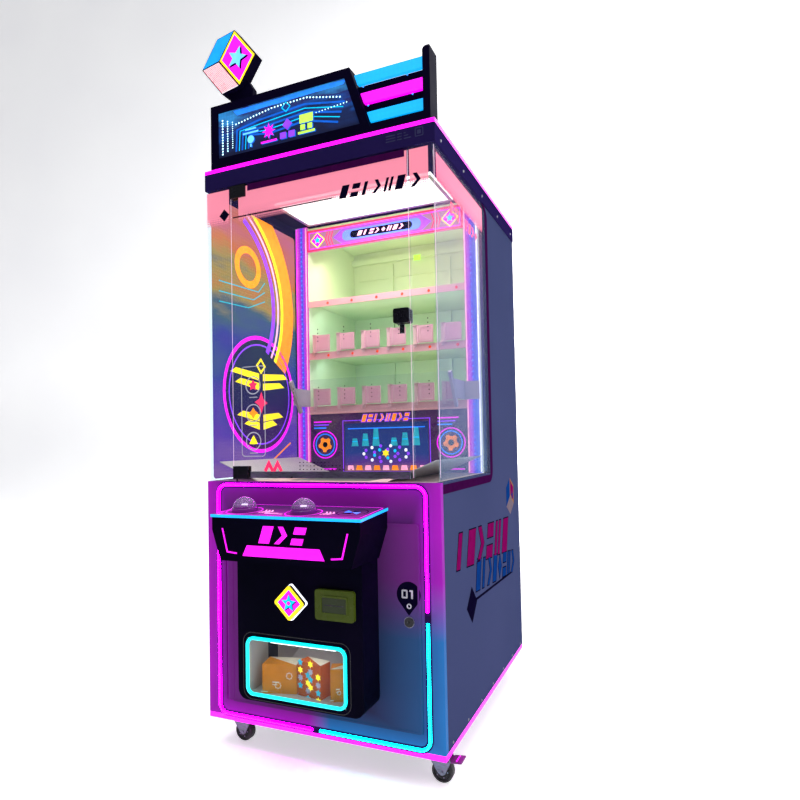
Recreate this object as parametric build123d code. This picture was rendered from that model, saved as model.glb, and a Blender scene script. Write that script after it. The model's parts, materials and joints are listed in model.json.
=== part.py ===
"""Glass-front prize vending cabinet on casters.

Frame: millimetres, +Z up, the floor at z = 0, the front facing -Y and +X to the right of someone
standing in front. The origin is on the floor, under the middle of the cabinet's overall depth.
"""

from build123d import *
import os
from math import atan2, cos, degrees, radians

# ---- overall sizes ------------------------------------------------------------------------------
cabinet_width = 800.0       # over the side panels
cabinet_depth = 985.0       # front frame to rear panel
caster_height = 90.0        # floor to the underside of the base
lower_height = 753.0        # underside of the base to the foot of the glass
glass_height = 955.0        # clear height of the showcase glass
head_height = 66.0          # head band with its light strip
topper_height = 211.0       # sign box above the roof
box_reach = 172.0           # how far the control box stands in front of the cabinet

# ---- sheet metal, glass and fits ----------------------------------------------------------------
sheet = 2.0                 # sheet steel
panel_depth = 20.0          # depth of the folded panels
glass_thick = 8.0
glass_setback = 5.0         # front glass behind the front frame
door_gap = 2.0              # gap all round a hinged panel
pin_clear = 0.05            # radial clearance of pins and shafts
loose = 0.3                 # gap between faces that slide past each other

# ---- light strips -------------------------------------------------------------------------------
base_strip_height = 16.0
base_strip_thick = 6.0
roof_strip_height = 12.0
roof_strip_thick = 8.0
loop_tube = 10.0            # width of the light loop on the front
loop_proud = 8.0
loop_half_width = 360.0
loop_foot = 17.0            # above the underside of the base
loop_below_glass = 6.0
loop_corner = 30.0

# ---- casters ------------------------------------------------------------------------------------
caster_x = 340.0            # swivel axis from the middle
caster_inset = 70.0         # swivel axis from the front and rear edges
wheel_radius = 31.5
wheel_width = 25.0
axle_radius = 4.0
caster_trail = 26.0         # swivel axis to axle
caster_plate_thick = 4.0
kingpin_radius = 6.0
kingpin_head_radius = 9.0
kingpin_head_thick = 3.0
swivel_cup_radius = 24.0
swivel_cup_height = 6.0
fork_thick = 3.0
fork_side_gap = 1.0
pedal_reach = 87.0          # swivel axis to the pedal's tip
pedal_pivot_trail = 46.0
pedal_pivot_height = 64.0
pedal_pin_radius = 3.0
pedal_barrel_radius = 5.0
pedal_width = 44.0
pedal_thick = 4.0

# ---- head band and topper -----------------------------------------------------------------------
head_overhang = 4.0
head_setback = 4.0
head_rim = 24.0             # width of the rim that stands on the panels
ceiling_drop = 36.0         # ceiling plate below the roof
topper_depth = 60.0
sign_left = -377.0
sign_right_top = 139.0
sign_right_foot = 209.0
sign_frame_side = 27.0
sign_frame_top = 25.0
sign_frame_foot = 33.0
sign_pocket = 50.0
sign_glass_back = 6.0       # sign window behind the frame's face
post_left = 371.0
post_width = 22.0
post_corner = 12.0
bar_height = 33.0
bar_pitch = 60.5
bar_first = 34.0            # lowest bar above the roof
bar_proud = 12.0
bar_setback = 8.0
board_thick = 26.0
cube_top = (-274.0, 441.0)  # top corner of the cube sign: x, height above the roof
cube_edge_down = (-63.0, -88.0)
cube_edge_right = (81.0, -101.0)
cube_edge_back = (-70.0, -12.0)
cube_depth = 37.0
neck_left = -300.0
neck_right = -216.0
neck_thick = 22.0
neck_height = 62.0

# ---- glass door ---------------------------------------------------------------------------------
glass_door_left = -300.0
glass_door_right = 320.0
glass_door_foot = 12.0      # above the foot of the glass
glass_door_head = 8.0       # below the head band
glass_pivot_inset = 10.0
glass_pivot_radius = 2.5
strip_left_end = -305.0
strip_right_end = 322.5
clamp_length = 58.0
clamp_height = 40.0
clamp_thick = 18.0
rail_height = 18.0
rail_thick = 13.0
rail_left = -233.0
rail_right = 310.0
lock_height = 472.0         # glass-door lock above the foot of the glass
lock_case_length = 49.0
lock_case_height = 42.0
lock_case_proud = 13.0
lock_radius = 8.0
lock_from_edge = 34.0
cam_length = 46.0
cam_width = 14.0
cam_thick = 3.0

# ---- service door, console and control box ------------------------------------------------------
door_left = -329.0
door_right = 335.0
door_foot = 66.0
door_head = 636.0
door_proud = 2.0
door_pin_radius = 5.0
door_pin_length = 6.0
door_lock_x = 301.0
door_lock_height = 367.0
door_lock_radius = 9.5
console_half_width = 206.0
console_depth = 100.0
console_foot = 125.0
console_corner = 30.0
console_wall = 3.0
outlet_left = -171.0
outlet_right = 151.0
outlet_foot = 145.0
outlet_head = 305.0
outlet_corner = 20.0
ring_tube = 10.0
ring_proud = 8.0
flap_thick = 4.0
flap_side_gap = 9.0
flap_axis_below = 13.0
flap_axis_back = 6.0
flap_length = 136.0
flap_pin_radius = 3.0
flap_barrel_radius = 4.0
box_half_width = 239.0
box_foot_half_width = 211.0
box_foot = 540.0
box_knee = 627.0
box_front_top = 663.0
box_rear_top = 675.0
box_wall = 3.0
plate_thick = 8.0
plate_overhang = 3.0
button_xs = (-172.0, 30.0)
button_setback = 64.0       # button axis behind the box's front face
button_radius = 34.0
button_travel = 6.0
button_skirt = 8.0
button_dome = 26.0
button_stem_radius = 12.0
button_stem_length = 42.0
bezel_width = 4.0
bezel_height = 10.0
bill_left = 65.0
bill_right = 186.0
bill_foot = 383.0
bill_head = 466.0
bill_proud = 12.0
bill_nose_inset = 21.0
bill_nose_inset_z = 16.0
bill_body_depth = 74.0
bill_body_drop = 58.0
bill_body_side = 14.0
bill_slot_width = 76.0
bill_slot_height = 6.0
bill_slot_depth = 62.0
diamond_x = -17.0
diamond_height = 421.0
diamond_half = 51.0
diamond_thick = 10.0
diamond_stand = 6.0
diamond_corner = 7.0

# ---- showcase inside ----------------------------------------------------------------------------
floor_thick = 3.0
drop_half_width = 150.0
drop_front = 62.0
drop_rear = 220.0
wing_side_gap = 4.0         # between a wing and the side panel
wing_inner = 230.0
wing_rise = 62.0
wing_front = 30.0
chute_front_edge = 22.0
chute_ramp_rear = 235.0
chute_ramp_front = 150.0
chute_front_foot = 312.0
back_plane = 520.0          # front plane of the shelf compartment, behind the front frame
bay_half_width = 327.0      # inside of the shelf compartment
bay_rear = 925.0
window_rear = 527.0         # rear edge of the side window
column_thick = 10.0
column_side_gap = 2.0       # between a light column and the side panel
banner_height = 87.0
banner_drop = 103.0         # foot of the banner below the ceiling
banner_thick = 8.0
ceiling_light_half = 300.0
ceiling_light_front = 250.0
ceiling_light_rear = 480.0
ceiling_light_thick = 10.0
screen_half_width = 174.0
screen_foot = 6.0
screen_height = 184.0
screen_depth = 22.0
shelf_tops = (262.0, 476.0, 684.0)  # above the foot of the glass
shelf_rails = (31.0, 27.0, 25.0)
shelf_rail_thick = 4.0
shelf_thick = 3.0
shelf_drop = 2.0            # shelf surface below the top of its rail
trunk_height = 25.0
trunk_depth = 20.0
trunk_drop = 58.0           # foot of the trunk below the ceiling
lane_first = -290.0         # first gate's hinge
lane_pitch = 108.0
lane_count = 6
gate_width = 62.0
gate_height = 65.0
gate_thick = 3.0
gate_lift = 3.0             # gate above its shelf rail
gate_pin_radius = 1.5
gate_barrel_radius = 3.2
bracket_strip = 12.0
bracket_below = 12.0
bracket_leg = 24.0
bracket_thick = 3.0
arm_top = (362.0, 350.0)    # behind the front frame, above the foot of the glass
arm_foot = (430.0, 235.0)
arm_width = 16.0
arm_thick = 10.0
arm_inside = 309.0
arm_plate_foot = 262.0
arm_plate_head = 327.0
baffle_thick = 4.0
guide_low = (216.0, 66.0)   # from the middle, above the foot of the glass
guide_high = (372.0, 165.0)
guide_width = 22.0
guide_thick = 5.0

# ---- rear ---------------------------------------------------------------------------------------
rear_door_half = 250.0
rear_door_foot = 62.0
rear_door_below_head = 50.0
vent_length = 60.0
vent_height = 5.0
vent_pitch = 14.0
vent_count = 10
vent_x = 316.0
vent_foot = 560.0
inlet_width = 48.0
inlet_height = 28.0
inlet_foot = 150.0
inlet_depth = 30.0
inlet_flange = 3.0
box_tray = (150.0, 300.0, 120.0)
box_tray_left = -330.0
box_tray_front = 600.0

# ---- prize boxes: width, depth, height, x, behind the console's face, turn -----------------------
prize_boxes = (
    (104.0, 62.0, 84.0, -88.0, 55.0, 14.0),
    (84.0, 44.0, 97.0, 20.0, 53.0, -9.0),
    (52.0, 46.0, 92.0, 104.0, 56.0, 24.0),
)

# ---- derived positions --------------------------------------------------------------------------
half_width = cabinet_width / 2
y_front = (box_reach - cabinet_depth) / 2
y_rear = y_front + cabinet_depth
z_base = caster_height
z_glass = z_base + lower_height
z_head = z_glass + glass_height
z_roof = z_head + head_height
z_ceiling = z_roof - ceiling_drop
inner_half = half_width - panel_depth
glass_front = y_front + glass_setback
glass_back = glass_front + glass_thick
glass_mid = glass_front + glass_thick / 2
y_back_plane = y_front + back_plane
wing_outer = inner_half - wing_side_gap
column_outer = inner_half - column_side_gap


def lo(height):
    """Height above the underside of the base, for the lower part."""
    return z_base + height


def up(height):
    """Height above the foot of the glass, for the showcase."""
    return z_glass + height


def back(depth):
    """Distance behind the front frame's face."""
    return y_front + depth


def block(x, y, z):
    """Box between two x values, two y values and two z values."""
    size = (x[1] - x[0], y[1] - y[0], z[1] - z[0])
    centre = ((x[0] + x[1]) / 2, (y[0] + y[1]) / 2, (z[0] + z[1]) / 2)
    return Pos(*centre) * Box(*size)


def slab_xz(points, y):
    """Polygon drawn as seen from the front, from y[0] to y[1]."""
    face = Plane((0, y[1], 0), x_dir=(1, 0, 0), z_dir=(0, -1, 0)) * Polygon(*points, align=None)
    return extrude(face, y[1] - y[0], dir=(0, -1, 0))


def slab_yz(points, x):
    """Polygon drawn as seen from the right side, from x[0] to x[1]."""
    face = Plane((x[0], 0, 0), x_dir=(0, 1, 0), z_dir=(1, 0, 0)) * Polygon(*points, align=None)
    return extrude(face, x[1] - x[0], dir=(1, 0, 0))


def round_slab(x, y, z, radius):
    """Block with its four edges along Y rounded."""
    plane = Plane(((x[0] + x[1]) / 2, y[1], (z[0] + z[1]) / 2), x_dir=(1, 0, 0), z_dir=(0, -1, 0))
    shape = plane * RectangleRounded(x[1] - x[0], z[1] - z[0], radius)
    return extrude(shape, y[1] - y[0], dir=(0, -1, 0))


def rod_x(radius, x, y, z):
    """Cylinder along X."""
    return Pos((x[0] + x[1]) / 2, y, z) * Rot(0, 90, 0) * Cylinder(radius, x[1] - x[0])


def rod_y(radius, x, y, z):
    """Cylinder along Y."""
    return Pos(x, (y[0] + y[1]) / 2, z) * Rot(90, 0, 0) * Cylinder(radius, y[1] - y[0])


def rod_z(radius, x, y, z):
    """Cylinder along Z."""
    return Pos(x, y, (z[0] + z[1]) / 2) * Cylinder(radius, z[1] - z[0])


def save(name, *shapes):
    """Write one node's solids."""
    solids = [solid for shape in shapes for solid in shape.solids()]
    export_step(Compound(solids), f"parts/{name}.step")


# ---- base and casters ---------------------------------------------------------------------------
caster_spots = (
    ("front_left", -caster_x, y_front + caster_inset, 0.0),
    ("front_right", caster_x, y_front + caster_inset, 0.0),
    ("rear_left", -caster_x, y_rear - caster_inset, 35.0),
    ("rear_right", caster_x, y_rear - caster_inset, 118.0),
)
fork_half = wheel_width / 2 + fork_side_gap + fork_thick
cup_top = caster_height - caster_plate_thick - loose
fork_top = cup_top - swivel_cup_height
fork_under = fork_top - fork_thick


def base_frame():
    """Base pan with corner pads, caster plates and kingpins."""
    inner = half_width - base_strip_thick
    front = y_front + base_strip_thick
    top = z_base + base_strip_height
    pan = block((-inner, inner), (front, y_rear), (z_base, top))
    rim = 30.0
    under = (z_base, top - sheet * 2)
    pan -= block((rim - inner, inner - rim), (front + rim, y_rear - rim), under)
    for _, x, y, _ in caster_spots:
        pan += block((x - 54, x + 54), (y - 60, y + 60), (z_base, top))
        pan += block((x - 50, x + 50), (y - 40, y + 40), (caster_height - caster_plate_thick, z_base))
        head_top = fork_under - loose
        plate_under = caster_height - caster_plate_thick
        pan += rod_z(kingpin_radius, x, y, (head_top - kingpin_head_thick, plate_under))
        pan += rod_z(kingpin_head_radius, x, y, (head_top - kingpin_head_thick, head_top))
    return pan


def caster_fork(braked):
    """Fork with its swivel cup at the origin's vertical axis, trailing along +X."""
    fork = rod_z(swivel_cup_radius, 0, 0, (fork_top, cup_top))
    fork += block((-20, caster_trail + 24), (-fork_half, fork_half), (fork_under, fork_top))
    ear = pedal_pivot_trail + 7
    leg = [
        (-18, fork_under),
        (caster_trail + 24, fork_under),
        (ear, pedal_pivot_height - 2),
        (caster_trail + 10, wheel_radius - 4),
        (caster_trail - 10, wheel_radius - 4),
    ]
    for side in (-1, 1):
        inside = side * (fork_half - fork_thick)
        outside = side * fork_half
        span = (min(inside, outside), max(inside, outside))
        fork += slab_xz(leg, span)
        fork += rod_y(9.0, caster_trail, span, wheel_radius)
    fork += rod_y(axle_radius, caster_trail, (-fork_half - 2, fork_half + 2), wheel_radius)
    fork -= rod_z(kingpin_radius + pin_clear, 0, 0, (fork_under, cup_top))
    if braked:
        hole = pedal_pin_radius + pin_clear
        fork -= rod_y(hole, pedal_pivot_trail, (-fork_half, fork_half), pedal_pivot_height)
    return fork


def caster_wheel():
    """Wheel with rounded tread edges and a dished side."""
    wheel = Rot(90, 0, 0) * Cylinder(wheel_radius, wheel_width)
    wheel = fillet(wheel.edges().filter_by(GeomType.CIRCLE), 4)
    for side in (-1, 1):
        face = side * wheel_width / 2
        dish = rod_y(wheel_radius - 7, 0, (min(face, face - side * 3), max(face, face - side * 3)), 0)
        hub = rod_y(axle_radius + 6, 0, (min(face, face - side * 3), max(face, face - side * 3)), 0)
        wheel -= dish - hub
    wheel -= rod_y(axle_radius + pin_clear, 0, (-wheel_width, wheel_width), 0)
    return Pos(caster_trail, 0, wheel_radius) * wheel


def caster_pedal():
    """Toe-brake pedal on its pin between the fork's ears."""
    inside = fork_half - fork_thick - loose
    pedal = rod_y(pedal_barrel_radius, pedal_pivot_trail, (-inside, inside), pedal_pivot_height)
    pedal += rod_y(pedal_pin_radius, pedal_pivot_trail, (-fork_half, fork_half), pedal_pivot_height)
    root = pedal_pivot_trail
    tread = pedal_pivot_trail + 9
    neck = block((root, tread + 1), (-inside, inside), (pedal_pivot_height, pedal_pivot_height + pedal_thick))
    plate_z = pedal_pivot_height
    points = [
        (tread, plate_z),
        (pedal_reach, plate_z + 3),
        (pedal_reach, plate_z + 3 + pedal_thick),
        (tread, plate_z + pedal_thick),
    ]
    return pedal + neck + slab_xz(points, (-pedal_width / 2, pedal_width / 2))


# ---- cabinet shell ------------------------------------------------------------------------------
def folded(outline, x, skin_at):
    """Folded side panel: a skin with a return flange all round, open on the other side."""
    panel = slab_yz(outline, x)
    face = Plane((x[0], 0, 0), x_dir=(0, 1, 0), z_dir=(1, 0, 0)) * Polygon(*outline, align=None)
    inside = offset(face, -sheet, kind=Kind.INTERSECTION)
    pocket = extrude(inside, x[1] - x[0], dir=(1, 0, 0))
    shift = -sheet if skin_at == x[1] else sheet
    return panel - Pos(shift, 0, 0) * pocket


def side_panel(side):
    """Steel side panel: full height behind the window, low in front of it."""
    outline = [
        (back(panel_depth), z_base + base_strip_height),
        (y_rear, z_base + base_strip_height),
        (y_rear, z_head),
        (back(window_rear), z_head),
        (back(window_rear), z_glass),
        (back(panel_depth), z_glass),
    ]
    if side > 0:
        return folded(outline, (inner_half, half_width), half_width)
    return folded(outline, (-half_width, -inner_half), -half_width)


def front_frame():
    """Folded frame round the service door."""
    foot = z_base + base_strip_height
    opening_x = (door_left - door_gap, door_right + door_gap)
    opening_z = (lo(door_foot) - door_gap, lo(door_head) + door_gap)
    frame = block((-half_width, half_width), (y_front, back(panel_depth)), (foot, z_glass))
    inside = block(
        (-half_width + sheet, half_width - sheet),
        (back(sheet), back(panel_depth)),
        (foot + sheet, z_glass - sheet),
    )
    inside -= block(
        (opening_x[0] - sheet, opening_x[1] + sheet),
        (y_front, back(panel_depth)),
        (opening_z[0] - sheet, opening_z[1] + sheet),
    )
    frame -= inside
    frame -= block(opening_x, (y_front, back(panel_depth)), opening_z)
    hole = door_pin_radius + pin_clear
    reach = door_gap + sheet
    frame -= rod_z(hole, door_axis_x, door_axis_y, (opening_z[0] - reach, opening_z[0]))
    frame -= rod_z(hole, door_axis_x, door_axis_y, (opening_z[1], opening_z[1] + reach))
    pivot = glass_pivot_radius + pin_clear
    frame -= rod_z(pivot, glass_axis_x, glass_mid, (z_glass - sheet, z_glass))
    return frame


def hinged_panel(x, y, z, pin_end):
    """Folded door with a rounded hinge edge at x[0] and a pin above and below it."""
    radius = (y[1] - y[0]) / 2
    axis = (x[0] + radius, (y[0] + y[1]) / 2)
    door = block((axis[0], x[1]), y, z) + rod_z(radius, axis[0], axis[1], z)
    return door + rod_z(door_pin_radius, axis[0], axis[1], (z[0] - pin_end, z[1] + pin_end))


door_axis_x = door_left + panel_depth / 2
door_axis_y = back(panel_depth / 2 - door_proud)
glass_axis_x = glass_door_left + glass_pivot_inset


def service_door():
    """Front service door, hinged at its left edge, with the prize opening in it."""
    y = (back(-door_proud), back(panel_depth - door_proud))
    z = (lo(door_foot), lo(door_head))
    door = hinged_panel((door_left, door_right), y, z, door_pin_length)
    door -= block(
        (door_left + panel_depth, door_right - sheet),
        (y[0] + sheet, y[1]),
        (z[0] + sheet, z[1] - sheet),
    )
    door -= block((outlet_left, outlet_right), y, (lo(outlet_foot), lo(outlet_head)))
    door -= rod_y(door_lock_radius + pin_clear, door_lock_x, y, lo(door_lock_height))
    return door


def rear_panel():
    """Rear panel with the service opening, ventilation slots and the inlet cut-out."""
    foot = z_base + base_strip_height
    y = (y_rear - panel_depth, y_rear)
    opening_x = (-rear_door_half - door_gap, rear_door_half + door_gap)
    opening_z = (lo(rear_door_foot) - door_gap, z_rear_door_top + door_gap)
    panel = block((-inner_half, inner_half), y, (foot, z_head))
    inside = block(
        (-inner_half + sheet, inner_half - sheet),
        (y[0], y[1] - sheet),
        (foot + sheet, z_head - sheet),
    )
    inside -= block(
        (opening_x[0] - sheet, opening_x[1] + sheet), y, (opening_z[0] - sheet, opening_z[1] + sheet)
    )
    panel -= inside
    panel -= block(opening_x, y, opening_z)
    hole = door_pin_radius + pin_clear
    reach = door_gap + sheet
    panel -= rod_z(hole, rear_axis_x, rear_axis_y, (opening_z[0] - reach, opening_z[0]))
    panel -= rod_z(hole, rear_axis_x, rear_axis_y, (opening_z[1], opening_z[1] + reach))
    for row in range(vent_count):
        z = lo(vent_foot + row * vent_pitch)
        for side in (-1, 1):
            x = side * vent_x
            panel -= block((x - vent_length / 2, x + vent_length / 2), y, (z, z + vent_height))
    x = vent_x
    panel -= block(
        (x - inlet_width / 2, x + inlet_width / 2), y, (lo(inlet_foot), lo(inlet_foot) + inlet_height)
    )
    return panel


rear_axis_x = -rear_door_half + panel_depth / 2
rear_axis_y = y_rear + door_proud - panel_depth / 2
z_rear_door_top = z_head - rear_door_below_head


def rear_door():
    """Rear service door, hinged at its left edge as seen from the front."""
    y = (y_rear + door_proud - panel_depth, y_rear + door_proud)
    z = (lo(rear_door_foot), z_rear_door_top)
    door = hinged_panel((-rear_door_half, rear_door_half), y, z, door_pin_length)
    door -= block(
        (-rear_door_half + panel_depth, rear_door_half - sheet),
        (y[0], y[1] - sheet),
        (z[0] + sheet, z[1] - sheet),
    )
    grip_z = (z[0] + z[1]) / 2
    door += block(
        (rear_door_half - 60, rear_door_half - 30), (y[1], y[1] + 6), (grip_z - 70, grip_z + 70)
    )
    for row in range(vent_count):
        vz = z[1] - 120 - row * vent_pitch
        door -= block((-90, 90), y, (vz, vz + vent_height))
    return door


def head_band():
    """Head band with the ceiling plate and the roof."""
    wide = half_width + head_overhang
    front = y_front + head_setback
    rear = y_rear - head_setback
    top_wide = wide - roof_strip_thick
    z_step = z_roof - roof_strip_height
    band = block((-wide, wide), (front, rear), (z_head, z_step))
    band += block((-top_wide, top_wide), (front + roof_strip_thick, rear), (z_step, z_roof))
    rim_x = wide - head_rim
    rim_y = (front + head_rim - 6, rear - head_rim + 6)
    band -= block((-rim_x, rim_x), rim_y, (z_head, z_ceiling))
    plate = z_ceiling + sheet
    inner = top_wide - sheet
    band -= block((-inner, inner), (front + roof_strip_thick + sheet, rear - sheet), (plate, z_roof - sheet))
    ring = block((-wide + sheet, wide - sheet), (front + sheet, rear - sheet), (z_head + sheet, plate))
    ring -= block(
        (-rim_x - sheet, rim_x + sheet), (rim_y[0] - sheet, rim_y[1] + sheet), (z_head, plate)
    )
    band -= ring
    pivot = glass_pivot_radius + pin_clear
    band -= rod_z(pivot, glass_axis_x, glass_mid, (z_head, z_head + sheet))
    return band


def light_strips():
    """Strips along the base and the roof edge, and the loop on the front frame."""
    inner = half_width - base_strip_thick
    z = (z_base, z_base + base_strip_height)
    base = block((-half_width, half_width), (y_front, y_rear), z)
    base -= block((-inner, inner), (y_front + base_strip_thick, y_rear), z)
    wide = half_width + head_overhang
    front = y_front + head_setback
    rear = y_rear - head_setback
    z = (z_roof - roof_strip_height, z_roof)
    roof = block((-wide, wide), (front, rear), z)
    roof -= block((roof_strip_thick - wide, wide - roof_strip_thick), (front + roof_strip_thick, rear), z)
    out_x = (-loop_half_width, loop_half_width)
    out_z = (lo(loop_foot), z_glass - loop_below_glass)
    y = (back(-loop_proud), y_front)
    loop = round_slab(out_x, y, out_z, loop_corner)
    loop -= round_slab(
        (out_x[0] + loop_tube, out_x[1] - loop_tube),
        y,
        (out_z[0] + loop_tube, out_z[1] - loop_tube),
        loop_corner - loop_tube,
    )
    return base, roof, loop


# ---- glass --------------------------------------------------------------------------------------
def side_glass():
    """Glass in both side windows."""
    y = (glass_back, back(window_rear))
    z = (z_glass, z_head)
    right = block((half_width - glass_thick, half_width), y, z)
    left = block((-half_width, glass_thick - half_width), y, z)
    return left, right


def front_glass_strips():
    """Fixed glass on both sides of the glass door."""
    y = (glass_front, glass_back)
    z = (z_glass, z_head)
    return block((-half_width, strip_left_end), y, z), block((strip_right_end, half_width), y, z)


def glass_door():
    """Hinged glass with pivot clamps, rails and the lock case."""
    z = (z_glass + glass_door_foot, z_head - glass_door_head)
    pane = block((glass_door_left, glass_door_right), (glass_front, glass_back), z)
    solids = []
    clamp_y = (glass_mid - clamp_thick / 2, glass_mid + clamp_thick / 2)
    clamp_x = (glass_door_left + 1, glass_door_left + 1 + clamp_length)
    for foot, head, pin in (
        (z[0] - 4, z[0] - 4 + clamp_height, (z_glass - 4, z[0] - 4)),
        (z[1] + 4 - clamp_height, z[1] + 4, (z[1] + 4, z_head + 4)),
    ):
        clamp = block(clamp_x, clamp_y, (foot, head)) - pane
        solids.append(clamp + rod_z(glass_pivot_radius, glass_axis_x, glass_mid, pin))
    rail_y = (glass_mid - rail_thick / 2, glass_mid + rail_thick / 2)
    for foot in (z[0], z[1] - rail_height):
        solids.append(block((rail_left, rail_right), rail_y, (foot - 1, foot + rail_height + 1)) - pane)
    lock_z = z_glass + lock_height
    case_x = (glass_door_right - lock_case_length, glass_door_right)
    case_z = (lock_z - lock_case_height / 2, lock_z + lock_case_height / 2)
    case = round_slab(case_x, (glass_front - lock_case_proud, glass_front), case_z, 6)
    rear = round_slab(case_x, (glass_back, glass_back + 8), case_z, 6)
    hole_x = glass_door_right - lock_from_edge
    hole_y = (glass_front - lock_case_proud, glass_back + 8)
    hole = rod_y(lock_radius + pin_clear, hole_x, hole_y, lock_z)
    return [pane - hole, case - hole, rear - hole] + solids


def lock_barrel(x, z, radius, face_y, back_y):
    """Lock cylinder with a head in front, a cam behind pointing down, and a key slot."""
    barrel = rod_y(radius, x, (face_y - loose, back_y + loose), z)
    barrel += rod_y(radius + 4, x, (face_y - loose - 4, face_y - loose), z)
    cam_y = (back_y + loose, back_y + loose + cam_thick)
    barrel += block((x - cam_width / 2, x + cam_width / 2), cam_y, (z - cam_length, z + cam_width / 2))
    slot = block((x - 0.8, x + 0.8), (face_y - loose - 4, face_y - loose), (z - 4, z + 4))
    return barrel - slot


def glass_lock():
    """Lock cylinder of the glass door."""
    x = glass_door_right - lock_from_edge
    z = z_glass + lock_height
    return lock_barrel(x, z, lock_radius, glass_front - lock_case_proud, glass_back + 8)


def door_lock():
    """Lock cylinder of the service door."""
    face = back(-door_proud)
    return lock_barrel(door_lock_x, lo(door_lock_height), door_lock_radius, face, back(panel_depth))


# ---- console and control box, carried by the service door ----------------------------------------
console_face = back(-door_proud - console_depth)


def door_console():
    """Hollow console on the service door with the prize tunnel and the bill opening."""
    y = (console_face, back(-door_proud))
    z = (lo(console_foot), lo(box_foot))
    x = (-console_half_width, console_half_width)
    shell = round_slab(x, y, (z[0], z[1] + console_corner), console_corner)
    inner = round_slab(
        (x[0] + console_wall, x[1] - console_wall),
        (y[0] + console_wall, y[1]),
        (z[0] + console_wall, z[1] + console_corner),
        console_corner - console_wall,
    )
    tunnel = block(
        (outlet_left - console_wall, outlet_right + console_wall),
        y,
        (lo(outlet_foot) - console_wall, lo(outlet_head) + console_wall),
    )
    shell = shell - inner + tunnel
    shell += block(x, y, (z[1] - console_wall, z[1]))
    shell -= block((x[0] - 1, x[1] + 1), (y[0] - 1, y[1] + 1), (z[1], z[1] + 2 * console_corner))
    shell -= block((outlet_left, outlet_right), y, (lo(outlet_foot), lo(outlet_head)))
    nose = 1.0
    shell -= block(
        (bill_left + bill_nose_inset - nose, bill_right - bill_nose_inset + nose),
        (y[0], y[0] + console_wall),
        (lo(bill_foot) + bill_nose_inset_z - nose, lo(bill_head) - bill_nose_inset_z + nose),
    )
    flap_hole = flap_pin_radius + pin_clear
    side = (outlet_left - console_wall, outlet_right + console_wall)
    shell -= rod_x(flap_hole, side, flap_axis_y, flap_axis_z)
    return shell


flap_axis_y = console_face + flap_axis_back
flap_axis_z = lo(outlet_head) - flap_axis_below


def prize_flap():
    """Clear flap hung from a rod at the top of the prize outlet."""
    x = (outlet_left + flap_side_gap, outlet_right - flap_side_gap)
    flap = rod_x(flap_barrel_radius, x, flap_axis_y, flap_axis_z)
    flap += block(
        x, (flap_axis_y - flap_thick / 2, flap_axis_y + flap_thick / 2), (flap_axis_z - flap_length, flap_axis_z)
    )
    pin = (outlet_left - console_wall + 0.5, outlet_right + console_wall - 0.5)
    return flap + rod_x(flap_pin_radius, pin, flap_axis_y, flap_axis_z)


def outlet_light_ring():
    """Light tube round the prize outlet."""
    y = (console_face - ring_proud, console_face)
    grow = ring_tube / 2
    x = (outlet_left - grow, outlet_right + grow)
    z = (lo(outlet_foot) - grow, lo(outlet_head) + grow)
    ring = round_slab(x, y, z, outlet_corner)
    return ring - round_slab(
        (x[0] + ring_tube, x[1] - ring_tube),
        y,
        (z[0] + ring_tube, z[1] - ring_tube),
        outlet_corner - ring_tube,
    )


def bill_unit():
    """Bill acceptor: bezel outside, body behind it and the slot through both."""
    face = console_face - bill_proud
    x = (bill_left, bill_right)
    z = (lo(bill_foot), lo(bill_head))
    unit = round_slab(x, (face, console_face), z, 8)
    nose_x = (x[0] + bill_nose_inset, x[1] - bill_nose_inset)
    nose_z = (z[0] + bill_nose_inset_z, z[1] - bill_nose_inset_z)
    behind = console_face + console_wall + 0.5
    unit += block(nose_x, (console_face, behind), nose_z)
    unit += block(
        (x[0] + bill_body_side, x[1] - bill_body_side),
        (behind, behind + bill_body_depth),
        (z[0] - bill_body_drop, z[1]),
    )
    recess = 6.0
    unit -= block(nose_x, (face, face + recess), nose_z)
    middle_x = (x[0] + x[1]) / 2
    middle_z = (z[0] + z[1]) / 2
    unit -= block(
        (middle_x - bill_slot_width / 2, middle_x + bill_slot_width / 2),
        (face, face + bill_slot_depth),
        (middle_z - bill_slot_height / 2, middle_z + bill_slot_height / 2),
    )
    return unit


def diamond_sign():
    """Diamond sign standing off its back plate."""
    z = lo(diamond_height)
    solids = []
    for half, near, far in (
        (diamond_half + 3, console_face - diamond_stand, console_face),
        (diamond_half, console_face - diamond_stand - diamond_thick, console_face - diamond_stand),
    ):
        points = [
            (diamond_x, z + half),
            (diamond_x + half, z),
            (diamond_x, z - half),
            (diamond_x - half, z),
        ]
        plate = slab_xz(points, (near, far))
        solids.append(fillet(plate.edges().filter_by(Axis.Y), diamond_corner))
    return solids


def prize_cartons():
    """Prize cartons lying in the outlet."""
    floor = lo(outlet_foot)
    return [
        Pos(x, console_face + y, floor + height / 2) * Rot(0, 0, turn) * Box(width, depth, height)
        for width, depth, height, x, y, turn in prize_boxes
    ]


box_front = back(-box_reach)
box_rear = back(-door_proud)
box_slope = degrees(atan2(box_rear_top - box_front_top, box_rear - box_front))


def box_top(y):
    """Height of the control box's top edge at y."""
    share = (y - box_front) / (box_rear - box_front)
    return lo(box_front_top) + share * (box_rear_top - box_front_top)


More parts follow.
